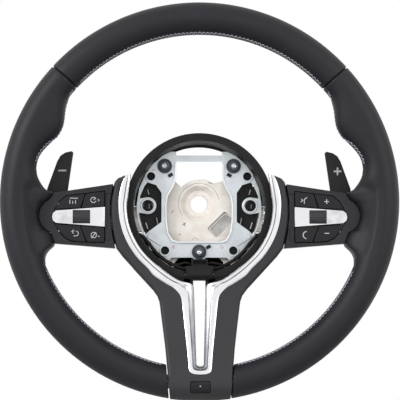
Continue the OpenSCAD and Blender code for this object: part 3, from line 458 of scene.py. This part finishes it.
def wrap_point(station, turn, inset=0.0):
    a, r, web, skew, tuck = station
    inset = inset + tuck
    c, s = math.cos(math.radians(turn)), math.sin(math.radians(turn))
    b = rim_depth / 2 - inset
    half = (rim_out - rim_in) / 2 - inset
    reach = rim_mid - r - inset
    if turn > 180:
        across, back = -half * s, -b * c
    else:
        shelf = rim_f - root_front_f + inset
        rear = rim_f - root_rear_f - inset
        u = [(0, 0), (25, -half * 0.454), (48, -half * 0.829), (68, -half * 0.52 - 0.5 * reach), (83, -reach),
             (97, -reach), (122, -0.6 * reach), (151, -0.28 * reach), (180, 0)]
        v = [(0, -b), (25, -b * 0.891), (48, -b * 0.559), (68, -3.4), (83, shelf), (97, rear),
             (122, b + 0.6 * (rear - b)), (151, b + 0.22 * (rear - b)), (180, b)]
        across = -reach * s * (1 - web) + along(u, turn) * web
        back = -b * c * (1 - web) + along(v, turn) * web
    p = Vector((r * math.cos(math.radians(a - skew)), 0, r * math.sin(math.radians(a - skew))))
    q = Vector((rim_out * math.cos(math.radians(a)), 0, rim_out * math.sin(math.radians(a))))
    e = (q - p) / (rim_out - r)
    place = p + e * (across + rim_mid - r)
    return spot(place.x, rim_f - back, place.z)


def wrap_section(station):
    ring = []
    for turn in inner_turns + outer_turns:
        near = max(0.0, 1 - abs(turn - joint_at) / joint_half)
        near *= (1 - station[2]) * (1 - behind_grip(station[0]))
        ring.append(wrap_point(station, turn, joint_depth * near))
    return ring


print("a section has", len(inner_turns) + len(outer_turns), "points")

# %% [markdown]
# ## The three leather wraps
# Three hides cover the rim: one over the top and one down each side. Each is a tube with its ends
# tucked under, given the hide's own thickness afterwards, so an open end shows an edge as cut leather
# does. The roots are smoothed a little, because leather can't follow a sharp inside corner. The
# thickness grows inwards, so each tube is checked for facing out first.

# %% Make the wraps
root_x = (0.118, 0.165)
root_z = (-0.047, 0.030)
crest_y = -0.0745
hide_t = 0.0011


def wrap_rim(part, stations):
    bm = skinned([wrap_section(s) for s in tucked(stations)], capped=False)
    rooted = [v for v in bm.verts if root_x[0] < abs(v.co.x) < root_x[1]
              and root_z[0] < v.co.z < root_z[1] and v.co.y > crest_y]
    for _ in range(2):
        bmesh.ops.smooth_vert(bm, verts=rooted, factor=0.35,
                              use_axis_x=True, use_axis_y=True, use_axis_z=True)
    outermost = max(bm.faces, key=lambda face: math.hypot(*face.calc_center_median().xz))
    if outermost.normal.dot(outermost.calc_center_median() * Vector((1, 0, 1))) < 0:
        bmesh.ops.reverse_faces(bm, faces=bm.faces)
    piece = finish_piece(part + "_wrap", bm, leather, part, sharp=60, weighted=False)
    hide = piece.modifiers.new("hide", "SOLIDIFY")
    hide.thickness = hide_t
    hide.offset = -1
    print(part, len(piece.data.polygons), "faces before the hide's thickness")


wrap_rim("leather_top", top_stations)
wrap_rim("leather_left", side_stations)
wrap_rim("leather_right", other_side(side_stations))
nodes["rim_foam"].data.materials.clear()
nodes["rim_foam"].data.materials.append(foam)

# %% [markdown]
# ## The sewn joint
# The edges of the leather are drawn together on the rim's inner side with a zigzag thread. A stitch is
# a short lozenge of thread that crosses the groove, and every second one crosses back. They are placed
# with the section's own function, so they follow the rim's swell without any fitting.

# %% Sew the joint
stitch_pitch = 3.8
stitch_turn = 6
stitch_lift = 0.32
thread_r = 0.00052


def sew(name, stations):
    bm = bmesh.new()
    turns = [joint_at + behind_turn * behind_grip(s[0]) for s in stations]
    run = [wrap_point((*s, 0), turn) for s, turn in zip(stations, turns)]
    left = [wrap_point((*s, 0), turn - stitch_turn, -stitch_lift) for s, turn in zip(stations, turns)]
    right = [wrap_point((*s, 0), turn + stitch_turn, -stitch_lift) for s, turn in zip(stations, turns)]
    travelled, knots = 0.0, []
    for i in range(len(run) - 1):
        length = (run[i + 1] - run[i]).length * 1000
        while travelled < length:
            t = travelled / length
            knots.append((left[i].lerp(left[i + 1], t), right[i].lerp(right[i + 1], t)))
            travelled += stitch_pitch / 2
        travelled -= length
    ends = [pair[i % 2] for i, pair in enumerate(knots)]
    for a, b in zip(ends, ends[1:]):
        way = b - a
        turn = way.to_track_quat("Z", "Y").to_matrix().to_4x4()
        shape = Matrix.Diagonal((thread_r, thread_r, way.length * 0.5, 1))
        bmesh.ops.create_uvsphere(bm, u_segments=6, v_segments=4, radius=1.0,
                                  matrix=Matrix.Translation((a + b) / 2) @ turn @ shape)
    finish_piece(name, bm, thread, body="wheel", sharp=80, weighted=False)
    print(name, len(ends) - 1, "stitches")


low_left = [s for s in side_stations if s[0] >= 203.5][:-1]
high_left = [s for s in side_stations if 138.4 < s[0] < 168]
sew("stitches_top", top_stations[1:-1])
sew("stitches_low_left", low_left)
sew("stitches_low_right", other_side(low_left))
sew("stitches_high_left", high_left)
sew("stitches_high_right", other_side(high_left))

# %% [markdown]
# ## Covers
# The lower cover wraps the airbag's well and runs down the lower spoke to the rim. Its outer corner is
# a generous soft radius, while the edges against the trim stay tight. The rear cover behind it is a
# plainer moulding with one small radius all over.

# %% Round the covers
well_ring_r = 0.0775
spoke_half = 0.026
foot_top_z = -0.166
foot_edge_z = -0.163
cover_edge = 0.3
cover_corner = 3.4


def outer_corner(e):
    mid = (e.verts[0].co + e.verts[1].co) / 2
    front = [f for f in e.link_faces if f.normal.y < -0.75]
    side = [f for f in e.link_faces if f.normal.y > -0.5]
    if len(front) != 1 or len(side) != 1 or mid.z < foot_top_z:
        return False
    outwards = side[0].normal.x * (1 if mid.x > 0 else -1) > 0.25
    outside_well = math.hypot(mid.x, mid.z - well_z / 1000) > well_ring_r
    return outwards and (outside_well or abs(mid.x) > spoke_half)


def above_foot(e):
    return has_room(e, cover_edge) and min(v.co.z for v in e.verts) > foot_edge_z


eased("lower_cover", soft_cover, cover_edge, 2, cover_corner, outer_corner, above_foot)
for part in ("rear_cover", "left_arm_back", "right_arm_back", "lower_spoke_back"):
    eased(part, hard_black, 0.5, 2)

# %% [markdown]
# ## Silver trim
# One bright band frames the well, dips into a shallow V at 6 o'clock and runs down both sides of the
# see-through slot. Its face has a thin groove on the ring and long facets on the lower spoke. Groove and
# facets get a greyer silver, a painted reflection of darker parts of a room. The band is skinned through
# sections between paired outer and inner points, given for the right half and mirrored.

# %% Paired edges of the trim
pairs = [(69.7, 23.4, 64.2, 25.4), (71.4, 18, 64.8, 19.5), (72.9, 12, 65.5, 13), (74.3, 4, 66.6, 4.5)]
pairs += [(75 * math.cos(math.radians(a)), well_z + 75 * math.sin(math.radians(a)),
           67.8 * math.cos(math.radians(a)), well_z + 67.8 * math.sin(math.radians(a)))
          for a in range(0, -51, -10)]
pairs += [(42.6, -68.9, 37.6, -61.4), (36, -73.6, 31, -66.7), (30, -77.4, 21, -73.2), (23.6, -81, 13, -75.7),
          (18.9, -85.7, 8, -77), (16.9, -90, 5.8, -80), (16, -95, 5.3, -88), (14.8, -105, 4.9, -102),
          (13.6, -117, 4.5, -115), (11.7, -135, 4, -135), (10.6, -148, 3.5, -147), (10.1, -154.5, 3.4, -151),
          (8.6, -158.3, 2.5, -152.8), (5, -159.9, 1.2, -153.3)]
foot_of_band = [(0, -160.2, 0, -153.4)]
half_band = flowing(pairs, 4)
band = [(-a, b, -c, d) for a, b, c, d in half_band] + foot_of_band + list(reversed(half_band))
front_of = [(-170.0, 79.2), (-163.85, 77.7), (-154.85, 74.5), (-139.85, 70), (-120, 64), (-98, 59),
            (-80, pod_f), (12, pod_f), (26, 54.8), (200, 54.8)]
back_of = [(-158.0, 61.5), (-135, 54), (-110, 46), (-75, 41.2), (200, 41.2)]
ring_face = [(0.0, -3.2), (-0.1, 0.25), (-0.07, 0.65), (0.02, 1.0), (0.13, 1.2), (0.42, 1.25), (0.5, 1.1),
             (0.57, 0.55), (0.64, 1.1), (0.72, 1.15), (0.88, 0.75), (0.97, -0.2), (1.0, -1.6), (1.0, -5.5)]
spoke_face = [(0.0, -3.2), (-0.06, 0.25), (-0.04, 0.65), (0.04, 1.0), (0.16, 1.2), (0.42, 1.2), (0.47, 1.0),
              (0.52, 0.4), (0.66, -0.6), (0.74, -0.9), (0.8, -1.4), (0.93, -2.2), (1.0, -3.2), (1.0, -9.0)]
print(len(band), "stations along the band")

# %% Skin the trim
def band_section(ox, oz, ix, iz):
    share = soft_step((-74 - (oz + iz) / 2) / 12)
    ring = []
    for (u, h), (v, g) in zip(ring_face, spoke_face):
        t, rise = u + (v - u) * share, h + (g - h) * share
        x, z = ox + (ix - ox) * t, oz + (iz - oz) * t
        ring.append(spot(x, along(front_of, z) + rise, z))
    mid_z = (oz + iz) / 2
    back = along(back_of, mid_z) + 0.4 if share > 0.5 else pod_f - 6.8
    ring.append(spot(ix, back, iz))
    ring.append(spot(ix + (ox - ix) * 0.16, back, iz + (oz - iz) * 0.16))
    ring.append(spot(ix + (ox - ix) * 0.18, along(front_of, mid_z) - 4.6, iz + (oz - iz) * 0.18))
    ring.append(spot(ox, along(front_of, mid_z) - 4.2, oz))
    return ring


trim = skinned([band_section(*p) for p in band])
trim_band = finish_piece("silver_trim_band", trim, [silver, trim_painted_reflection], "silver_trim", sharp=30)
spoke_top_z = -0.078
groove_rise = 0.6
# Spoke facets turned inwards and the groove's walls get the painted reflection.
for face in trim_band.data.polygons:
    middle, way = face.center, face.normal
    inward = -way.x * (1 if middle.x > 0 else -1)
    rise = -middle.y * 1000 - along(front_of, middle.z * 1000)
    on_spoke = middle.z < spoke_top_z
    facet = on_spoke and way.y < -0.3 and inward > 0.12
    groove = not on_spoke and -0.86 < way.y < -0.2 and rise > groove_rise
    if facet or groove:
        face.material_index = 1

# %% [markdown]
# ## Spoke pods
# Each pod is a black frame with four keys and a silver bar round a ribbed roller. All of these are
# crisp mouldings, so the solids are copied and their edges eased. The bars are plated. Their outer part
# has fine streaks in relief and a darker silver as painted reflection, so it gets a second finish there.

# %% Dress the pods
bar_outer_x = 0.1195


def bar_finish(piece):
    for face in piece.data.polygons:
        # Front faces of the bar's outer part get the streaks and the painted reflection.
        if abs(face.center.x) > bar_outer_x and face.normal.y < -0.5:
            face.material_index = 1


for side in ("left", "right"):
    eased(side + "_bezel", bezel_black, 0.5, 3)
    for key in ("top_outer", "top_inner", "low_outer", "low_inner"):
        eased(side + "_key_" + key, key_black, 0.25, 2)
    bar_finish(eased(side + "_bar", [silver, bar_streaks_and_painted_reflection], 0.6, 4))
    eased(side + "_roller", roller_black, 0.15, 2)
    eased(side + "_paddle", paddle_black, 0.45, 3)
    eased(side + "_paddle_carrier", hard_black, 0.3, 2)

# %% [markdown]
# ## Marks on keys and paddles
# The keys carry small pale pictograms and the paddles a plus and a minus. A print is thin, so each mark
# is a line with a round section that is pressed almost flat against the face it is on. Only common
# signs are used, drawn fresh from lines and arcs.

# %% Press a mark onto a face
def arc(cx, cz, r, start, end, parts=12):
    return [(cx + r * math.cos(math.radians(start + (end - start) * i / parts)),
             cz + r * math.sin(math.radians(start + (end - start) * i / parts))) for i in range(parts + 1)]


def print_mark(name, body, face_f, lines, width=0.62, look=None, rise=0.1):
    curve = bpy.data.curves.new(name, "CURVE")
    curve.dimensions = "3D"
    curve.bevel_depth = width / 2000
    curve.bevel_resolution = 2
    curve.use_fill_caps = True
    for line in lines:
        spline = curve.splines.new("POLY")
        spline.points.add(len(line) - 1)
        for point, (x, z) in zip(spline.points, line):
            point.co = (*spot(x, face_f, z), 1)
    drawn = bpy.data.objects.new(name, curve)
    scene.collection.objects.link(drawn)
    mesh = bpy.data.meshes.new_from_object(drawn.evaluated_get(bpy.context.evaluated_depsgraph_get()))
    bpy.data.objects.remove(drawn)
    bm = bmesh.new()
    bm.from_mesh(mesh)
    bpy.data.meshes.remove(mesh)
    bmesh.ops.remove_doubles(bm, verts=bm.verts, dist=0.000001)
    flat = 2 * rise / width
    for v in bm.verts:
        v.co.y = -face_f / 1000 + (v.co.y + face_f / 1000) * flat
    bmesh.ops.recalc_face_normals(bm, faces=bm.faces)
    finish_piece(name, bm, look or pale_mark, body=body, sharp=60, weighted=False)


# %% Draw the pictograms
key_f = 57.6
paddle_f = 28.0
button_f = 78.6
print_mark("left_mark_bars", "left_key_top_outer", key_f,
           [[(-120.6, -3.3), (-120.6, 0.4)], [(-118, -3.3), (-118, -0.6)],
            [(-115.4, -3.3), (-115.4, 0.4)], [(-120.6, 1.8), (-113.2, 1.8)]])
print_mark("left_mark_gauge", "left_key_top_inner", key_f,
           [arc(-98.8, 0.2, 2.5, 20, 340), [(-98.8, 0.2), (-97.2, 1.6)],
            [(-94.6, 0.9), (-93.2, 0.1), (-94.6, -0.8)]])
print_mark("left_mark_return", "left_key_low_outer", key_f,
           [[(-118.6, -29.2), (-114.6, -28.8), *arc(-114.8, -31, 2.2, 90, -90), (-117, -33.2)],
            [(-117, -27.4), (-118.8, -29.2), (-117, -31)]])
print_mark("left_mark_off", "left_key_low_inner", key_f,
           [arc(-98.3, -32.4, 2.5, 0, 360, 18), [(-100.4, -35), (-96.2, -29.8)],
            [(-94.4, -33.2), (-93, -33.9)]])
print_mark("right_mark_voice", "right_key_top_inner", key_f,
           [[(94, -1.4), (95.6, 0.2), (94.4, 1.4)], arc(99.6, -0.4, 2.6, 110, 210, 8),
            [(98.8, 2.2), (99.8, 3)], [(97.3, -1.8), (97.2, -3)]], 0.8)
print_mark("right_mark_plus", "right_key_top_outer", key_f,
           [[(115.9, -1), (120.1, -1)], [(118, 1.1), (118, -3.1)]], 0.8)
print_mark("right_mark_handset", "right_key_low_inner", key_f,
           [arc(99.4, -32.2, 3.4, 118, 232, 10), [(97.8, -29.2), (99.2, -28.8)],
            [(97.4, -35), (98.8, -35.6)]], 0.9)
print_mark("right_mark_minus", "right_key_low_outer", key_f, [[(115.9, -30.5), (120.1, -30.5)]], 0.8)
print_mark("left_paddle_minus", "left_paddle", paddle_f, [[(-133.3, 30.3), (-125.9, 30.3)]], 1.5)
print_mark("right_paddle_plus", "right_paddle", paddle_f,
           [[(127.7, 30), (135.1, 30)], [(131.4, 33.7), (131.4, 26.3)]], 1.5)
print_mark("foot_lamp_dot", "foot_button", button_f, [arc(0, -171.0, 0.35, 0, 360, 8)], 0.6)

# %% [markdown]
# ## Foot button, harness and switches
# The button at 6 o'clock, the control module and its plug are small mouldings with eased edges. The
# wires are round sleeved bundles that follow the same route as the solids. The plug's own leads and the
# bright contact clips beside the plate are added from the picture. Two short leads behind the trim are a
# guess. They close a small gap between the bowl and the trim that would show the background.

# %% Small mouldings
eased("foot_button", key_black, 0.6, 3)
eased("control_module", hard_black, 0.4, 2)
eased("harness_plug", hard_black, 0.3, 2)
eased("retaining_clips", hard_black, 0.25, 2)


# %% [markdown]
# The frame behind the carrier plate also closes the view through the plate's holes. Each upper and
# lower hole gets a tongue of the same moulding behind it, and each side eyelet a dark blind socket, so
# that the holes read as black from the driver's seat.

# %% Insulating frame with its tongues
def tongue(bm, points, front, back):
    below = [bm.verts.new(spot(x, back, z)) for x, z in points]
    raised = bmesh.ops.extrude_face_region(bm, geom=[bm.faces.new(below)])["geom"]
    bmesh.ops.translate(bm, verts=[g for g in raised if isinstance(g, bmesh.types.BMVert)],
                        vec=(0, -(front - back) / 1000, 0))


def rounded_tongue(x, z, r, foot):
    turn = math.degrees(math.atan2(z - foot[1][1], x - foot[1][0]))
    return [foot[0], *arc(x, z, r, turn - 90, turn + 90, 14), foot[2]]


glint_f = 19.6
socket_f = 17.3
frame_bm = copied("insulating_frame")
round_edges(frame_bm, 0.3, 2)
for sign in (-1, 1):
    upper = rounded_tongue(sign * 45.7, 25.3, 6,
                           [(sign * 45.7 + 5, 16), (sign * 44, 15), (sign * 45.7 - 6, 16)])
    lower = rounded_tongue(sign * 32.3, -45.2, 6,
                           [(sign * 40 - 7, -25), (sign * 39, -27), (sign * 40 + 5, -28)])
    crescent = [(sign * x, z) for x, z in ((48, 18.4), (53, 15.5), (57.5, 8), (59.4, 0), (59.4, -6),
                                           (56.2, -5), (55.8, 0), (53.6, 11))]
    tongue(frame_bm, upper, 17.9, 16.1)
    tongue(frame_bm, lower, 18.9, 17.4)
    tongue(frame_bm, arc(sign * 48.6, -2.6, 4.35, 0, 342, 19), socket_f, 16.1)
    tongue(frame_bm, crescent, 17.9, 16.1)
bmesh.ops.recalc_face_normals(frame_bm, faces=frame_bm.faces)
finish_piece("insulating_frame_tongues", frame_bm, hard_black, "insulating_frame")
# The pale strokes on the frame's ribs and on each socket are painted highlights.
for sign, name in ((-1, "left"), (1, "right")):
    print_mark(name + "_rib_glints", "wheel", glint_f,
               [[(sign * 48.8, 13), (sign * 47.8, 8.5)], [(sign * 40.4, -14), (sign * 39.2, -20)]],
               0.8, rib_edge_painted_highlight)
    print_mark(name + "_rib_edge", "wheel", glint_f, [[(sign * 50.6, -18.4), (sign * 48.7, -24.4)]],
               1.1, rib_edge_painted_highlight)
    print_mark(name + "_socket_glint", "wheel", socket_f,
               [[(sign * 48.6 + 1.4, -0.8), (sign * 48.6 + 1, -5)]], 0.7, rib_edge_painted_highlight)

for side in ("left", "right"):
    for part, look in (("_pod_back", hard_black), ("_board", board_green), ("_yoke", hard_black)):
        nodes[side + part].data.materials.clear()
        nodes[side + part].data.materials.append(look)
for part, look in (("paddle_pins", steel), ("paddle_switches", hard_black), ("foot_switch", board_green),
                   ("pod_screws", bright), ("cover_screws", bright)):
    nodes[part].data.materials.clear()
    nodes[part].data.materials.append(look)


# %% Wires
def lay_wire(name, points, radius, part=None, look=None):
    line = flowing(points, 5)
    rings = []
    for i, p in enumerate(line):
        a, b = Vector(line[max(i - 1, 0)]), Vector(line[min(i + 1, len(line) - 1)])
        way = (b - a).normalized()
        side = way.cross(Vector((0, 0, 1)) if abs(way.z) < 0.9 else Vector((1, 0, 0))).normalized()
        up = way.cross(side)
        swell = radius * (1 + 0.035 * math.sin(i * 1.9))
        turns = [math.tau * k / 10 for k in range(10)]
        rings.append([spot(*(Vector(p) + swell * (math.cos(t) * side + math.sin(t) * up))) for t in turns])
    finish_piece(name, skinned(rings), look or sleeve, part, "wheel", sharp=50, weighted=False)


def pod_route(sign):
    return [(sign * x, f, z) for x, f, z in (
        (13, 36, -62.4), (16, 36, -62.4), (20, 35.5, -61), (30, 34, -56.2), (41, 34, -47.2),
        (48.5, 34, -37.6), (56, 33.5, -30.8), (66, 33.5, -30.8), (78, 34, -31), (84.5, 35, -31),
        (87.4, 37.5, -31), (88, 40, -31), (88, 42.8, -31))]


lay_wire("left_wire_sleeve", pod_route(-1), 1.75, "left_wire")
lay_wire("right_wire_sleeve", pod_route(1), 1.75, "right_wire")
lay_wire("plug_lead_upper",
         [(7, 38, -58), (12, 38.5, -57.4), (19, 37, -58.6), (26, 34, -60.5), (33, 30, -59)], 1.2)
lay_wire("plug_lead_lower", [(7, 34, -60), (13, 34.5, -60.4), (21, 33, -62.6), (28, 30, -61.5)], 1.0)
lay_wire("plug_lead_left", [(-7, 36, -59), (-13, 37, -57.2), (-20, 35, -58.8), (-27, 31, -58)], 1.1)
for sign, name in ((-1, "left"), (1, "right")):
    lay_wire("spoke_lead_" + name,
             [(sign * x, 43, z) for x, z in ((15, -74), (19.4, -72.6), (23.2, -71.2), (28.8, -68.8))], 1.7)
lay_wire("ground_clip_right",
         [(61.2, 29, -6), (61.6, 31, -10), (60.4, 30, -14), (60.6, 32, -18), (58.8, 30, -22)],
         0.75, look=bright)
lay_wire("ground_clip_left", [(-61.6, 29, 9), (-61.9, 31, 5), (-61.9, 31, 1), (-61.8, 29, -3)],
         0.6, look=bright)

# %% [markdown]
# ## Carrier plate, hub and horn springs
# The carrier is pressed sheet with a turned-up edge, and the hub is a raw casting. Under the plate
# three coil springs push it forward against its guide bolts. Each spring is a real coil of wire with a
# mesh of its own. A real horn spring shortens when the horn is pressed.

# %% Plate, casting and insert
turned_edge_y = -0.0252
plate = eased("airbag_carrier", [zinc, zinc_edge_painted_highlight], 0.28, 2)
# Front faces of the turned-up edge get the painted highlight.
for face in plate.data.polygons:
    if face.normal.y < -0.6 and face.center.y < turned_edge_y:
        face.material_index = 1
pocket_low = (10, -13.4, -33)
pocket_high = (33, -12.6, -8)
casting = eased("armature", [cast, casting_painted_shade], 0.45, 2)
# Flat faces down in the pocket get the painted shade.
for face in casting.data.polygons:
    inside = all(a < b < c for a, b, c in zip(pocket_low, face.center * 1000, pocket_high))
    if face.normal.y < -0.9 and inside:
        face.material_index = 1
eased("rim_ring", cast, 0.3, 2)
nodes["hub_insert"].data.materials.clear()
nodes["hub_insert"].data.materials.append(pale_steel)


# %% Bushes and guide bolts
def turned(rings, profile, at, parts=48, material=0):
    start = [rings.verts.new(spot(at[0] + r, f, at[1])) for r, f in profile]
    edges = [rings.edges.new(pair) for pair in zip(start, start[1:])]
    before = len(rings.faces)
    bmesh.ops.spin(rings, geom=start + edges, cent=spot(at[0], 0, at[1]), axis=(0, 1, 0), dvec=(0, 0, 0),
                   angle=math.tau, steps=parts, use_merge=True, use_duplicate=False)
    rings.faces.ensure_lookup_table()
    for face in rings.faces[before:]:
        face.material_index = material
    bmesh.ops.remove_doubles(rings, verts=rings.verts, dist=0.000002)


plate_f = 24.0
bush_places = [(-32.7, 35.1), (32.7, 35.1), (0.0, -46.5)]
bush_profile = [(3.4, 20), (5.6, 20), (5.6, 24), (6.7, 24), (6.9, 24.2), (6.9, 26.1), (6.4, 26.6),
                (5.9, 26.6), (5.6, 26.3), (5.1, 26.3), (4.9, 26.6), (3.4, 26.6), (3.4, 20)]
bush_rings = bmesh.new()
for at in bush_places:
    turned(bush_rings, bush_profile, at)
bmesh.ops.recalc_face_normals(bush_rings, faces=bush_rings.faces)
finish_piece("horn_bush_rings", bush_rings, bush_grey, "horn_bushes", sharp=50)

head_f = plate_f + 2.7
head_rise = [(3.3, 0), (4.2, 0), (4.5, 0.3), (4.5, 1.4), (4.2, 1.9), (3.6, 2.1), (2.4, 2.1), (2.2, 1.9)]
socket_rise = [(2.2, 1.9), (1.9, 1.3), (1.2, 0.9), (0.55, 1.3), (0.0, 1.5)]
shank_profile = [(0.0, 2), (2.5, 2), (2.8, 2.3), (2.8, 13), (3.3, 13)]
shank_profile += [(r, head_f + h) for r, h in head_rise]
socket_profile = [(r, head_f + h) for r, h in socket_rise]
bolts = bmesh.new()
for at in bush_places:
    turned(bolts, shank_profile, at)
    # The socket gets bright steel, a painted highlight in the middle of the dark head.
    turned(bolts, socket_profile, at, material=1)
bmesh.ops.recalc_face_normals(bolts, faces=bolts.faces)
finish_piece("guide_bolt_heads", bolts, [dark_head, bright], "guide_bolts", sharp=40)


# %% Horn springs
pad_f = 13.0
plate_t = 1.6
coil_gap = 0.02


def coil_spring(part, at, turns=3.5, wire=0.6, mid_r=6.65):
    low_f, high_f = pad_f + wire + coil_gap, plate_f - plate_t - wire - coil_gap
    steps = int(turns * 28)
    rings = []
    for i in range(steps + 1):
        t = i / steps
        a = math.tau * turns * t
        f = low_f + (high_f - low_f) * (0.3 * soft_step(t) + 0.7 * t)
        out = Vector((math.cos(a), 0, math.sin(a)))
        centre = (at[0] + mid_r * out.x, f, at[1] + mid_r * out.z)
        rings.append([spot(centre[0] + wire * math.cos(math.tau * k / 8) * out.x,
                           centre[1] + wire * math.sin(math.tau * k / 8),
                           centre[2] + wire * math.cos(math.tau * k / 8) * out.z) for k in range(8)])
    piece = finish_piece(part + "_coil", skinned(rings), steel, part, sharp=60, weighted=False)
    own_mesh(piece)


for part, at in zip(("horn_spring_left", "horn_spring_right", "horn_spring_lower"), bush_places):
    coil_spring(part, at)

# %% [markdown]
# ## Marks of the assembly line
# The plate and the casting carry a few dabs of red paint where someone checked a joint. The hub has a
# crossed casting mark, a few scuffs and a bright rim round its pocket. They are tiny, but they sit in
# the middle of the picture. The dabs are open rings and strokes, as a quick brush leaves them.

# %% Paint dabs and casting marks
dab_f = plate_f + 0.02
hub_face_f = 16.0
boss_face_f = 21.9
print_mark("dab_upper_left", "horn_carrier", dab_f,
           [arc(-44.4, 30.4, 0.9, 200, 20, 6), [(-43, 32), (-41.8, 31)]], 0.6, red_mark)
print_mark("dab_low_left", "horn_carrier", dab_f, [arc(-24, -41.8, 1.1, 30, 320)], 0.55, red_mark)
print_mark("dab_low_right", "horn_carrier", dab_f, [arc(21.8, -41.8, 1.2, 80, 380)], 0.5, red_mark)
print_mark("pocket_rim", "wheel", hub_face_f,
           [[(9.6, -24.6), (13.2, -21), (24.2, -10), (28.2, -11), (33, -16), (32.2, -19), (20.6, -31),
             (16.4, -31.4), (9.6, -24.6)]], 0.7, pale_steel, 0.2)
print_mark("casting_cross", "wheel", hub_face_f,
           [[(19, -2), (30, -7.4)], [(19, -7.4), (30, -2)], [(19, -2), (19, -7.4)]], 0.35, cast, 0.16)
print_mark("casting_ring", "wheel", hub_face_f, [arc(-3.6, -35.5, 2.6, 0, 180)], 0.35, scuff, 0.1)
print_mark("casting_scuff_marks", "wheel", hub_face_f,
           [[(-15.6, -20.4), (-12.6, -18.8)], [(-14.4, -17.9), (-13.6, -21.6)], [(-26, -9), (-24.6, -6.4)],
            [(-19, -30), (-17.6, -28.8)], [(9, 20.4), (12.4, 19.2)]], 0.7, scuff, 0.12)
# A partial ring of painted shade where the boss's cone meets the hub face.
print_mark("cone_painted_shade_ring", "wheel", hub_face_f, [arc(0, 0, 19.4, 10, 215, 40)], 0.6, casting_painted_shade, 0.06)
print_mark("dab_on_casting", "wheel", boss_face_f,
           [arc(-27.6, -59.4, 1.1, -60, 150, 8), [(-28.4, -58), (-26.4, -60.6)]], 0.9, red_mark)

# %% [markdown]
# ## Studio
# The wheel hangs in a white room, as on a parts seller's page. The room's light is even, with a soft
# fall-off from the upper front to the lower back, so that plated faces show their facets. A pale floor
# far below takes the shadow and stays out of the camera's frame.

# %% Floor and room light
ground = bmesh.new()
floor_z = -1.1
bmesh.ops.create_grid(ground, x_segments=8, y_segments=8, size=2.4,
                      matrix=Matrix.Translation((0, 0, floor_z)))
floor_mesh = bpy.data.meshes.new("studio_floor")
ground.to_mesh(floor_mesh)
ground.free()
floor = bpy.data.objects.new("studio_floor", floor_mesh)
scene.collection.objects.link(floor)
floor_look = surface("pale_floor", (236, 236, 236), (242, 242, 242), 400, (0.7, 0.8), 0.3)
floor_mesh.materials.append(floor_look)

world = bpy.data.worlds.new("white_room")
scene.world = world
world.use_nodes = True
tree = world.node_tree
tree.nodes.clear()
rays = tree.nodes.new("ShaderNodeLightPath")
direction = tree.nodes.new("ShaderNodeTexCoord")
towards = tree.nodes.new("ShaderNodeVectorMath")
towards.operation = "DOT_PRODUCT"
towards.inputs[1].default_value = Vector((-0.25, -0.9, 0.3)).normalized()
fall = tree.nodes.new("ShaderNodeMapRange")
fall.inputs["From Min"].default_value = -0.1
fall.inputs["From Max"].default_value = 0.9
fall.inputs["To Min"].default_value = 0.06
fall.inputs["To Max"].default_value = 1.3
room = tree.nodes.new("ShaderNodeBackground")
white = tree.nodes.new("ShaderNodeBackground")
white.inputs["Color"].default_value = (1, 1, 1, 1)
seen = tree.nodes.new("ShaderNodeMath")
seen.operation = "MAXIMUM"
mirrored = tree.nodes.new("ShaderNodeMath")
mirrored.operation = "MAXIMUM"
mix = tree.nodes.new("ShaderNodeMixShader")
out = tree.nodes.new("ShaderNodeOutputWorld")
tree.links.new(direction.outputs["Generated"], towards.inputs[0])
tree.links.new(towards.outputs["Value"], fall.inputs["Value"])
tree.links.new(fall.outputs["Result"], room.inputs["Strength"])
tree.links.new(rays.outputs["Is Camera Ray"], seen.inputs[0])
tree.links.new(rays.outputs["Is Transmission Ray"], mirrored.inputs[0])
tree.links.new(rays.outputs["Is Glossy Ray"], mirrored.inputs[1])
tree.links.new(mirrored.outputs["Value"], seen.inputs[1])
tree.links.new(seen.outputs["Value"], mix.inputs["Fac"])
tree.links.new(room.outputs["Background"], mix.inputs[1])
tree.links.new(white.outputs["Background"], mix.inputs[2])
tree.links.new(mix.outputs["Shader"], out.inputs["Surface"])


# %% Lamps
def soft_lamp(name, place, power, size):
    lamp = bpy.data.lights.new(name, "AREA")
    lamp.energy = power
    lamp.size = size
    lamp_object = bpy.data.objects.new(name, lamp)
    lamp_object.location = place
    way = Vector((0, -0.05, 0)) - Vector(place)
    lamp_object.rotation_euler = way.to_track_quat("-Z", "Y").to_euler()
    scene.collection.objects.link(lamp_object)


soft_lamp("key_lamp", (-1.8, -1.5, 0.9), 23, 0.9)
soft_lamp("fill_lamp", (1.5, -1.6, 0.7), 8, 1.1)
print("two lamps")

# %% [markdown]
# ## Camera
# The picture was taken from far away with a long lens, a little below and to the left of the hub's
# axis. Aiming at the middle of the rim puts it in the middle of the frame, and the lens is chosen so
# that one millimetre on the rim's plane covers just over one pixel.

# %% Aim the camera
lens = bpy.data.cameras.new("portrait_camera")
lens.sensor_width = 36
lens.lens = 151.04
camera = bpy.data.objects.new("portrait_camera", lens)
camera.location = (-0.0336, -1.612, -0.116)
aim = Vector((0, -rim_f / 1000, 0)) - camera.location
camera.rotation_euler = aim.to_track_quat("-Z", "Y").to_euler()
scene.collection.objects.link(camera)
scene.camera = camera
scene.view_settings.view_transform = "Standard"
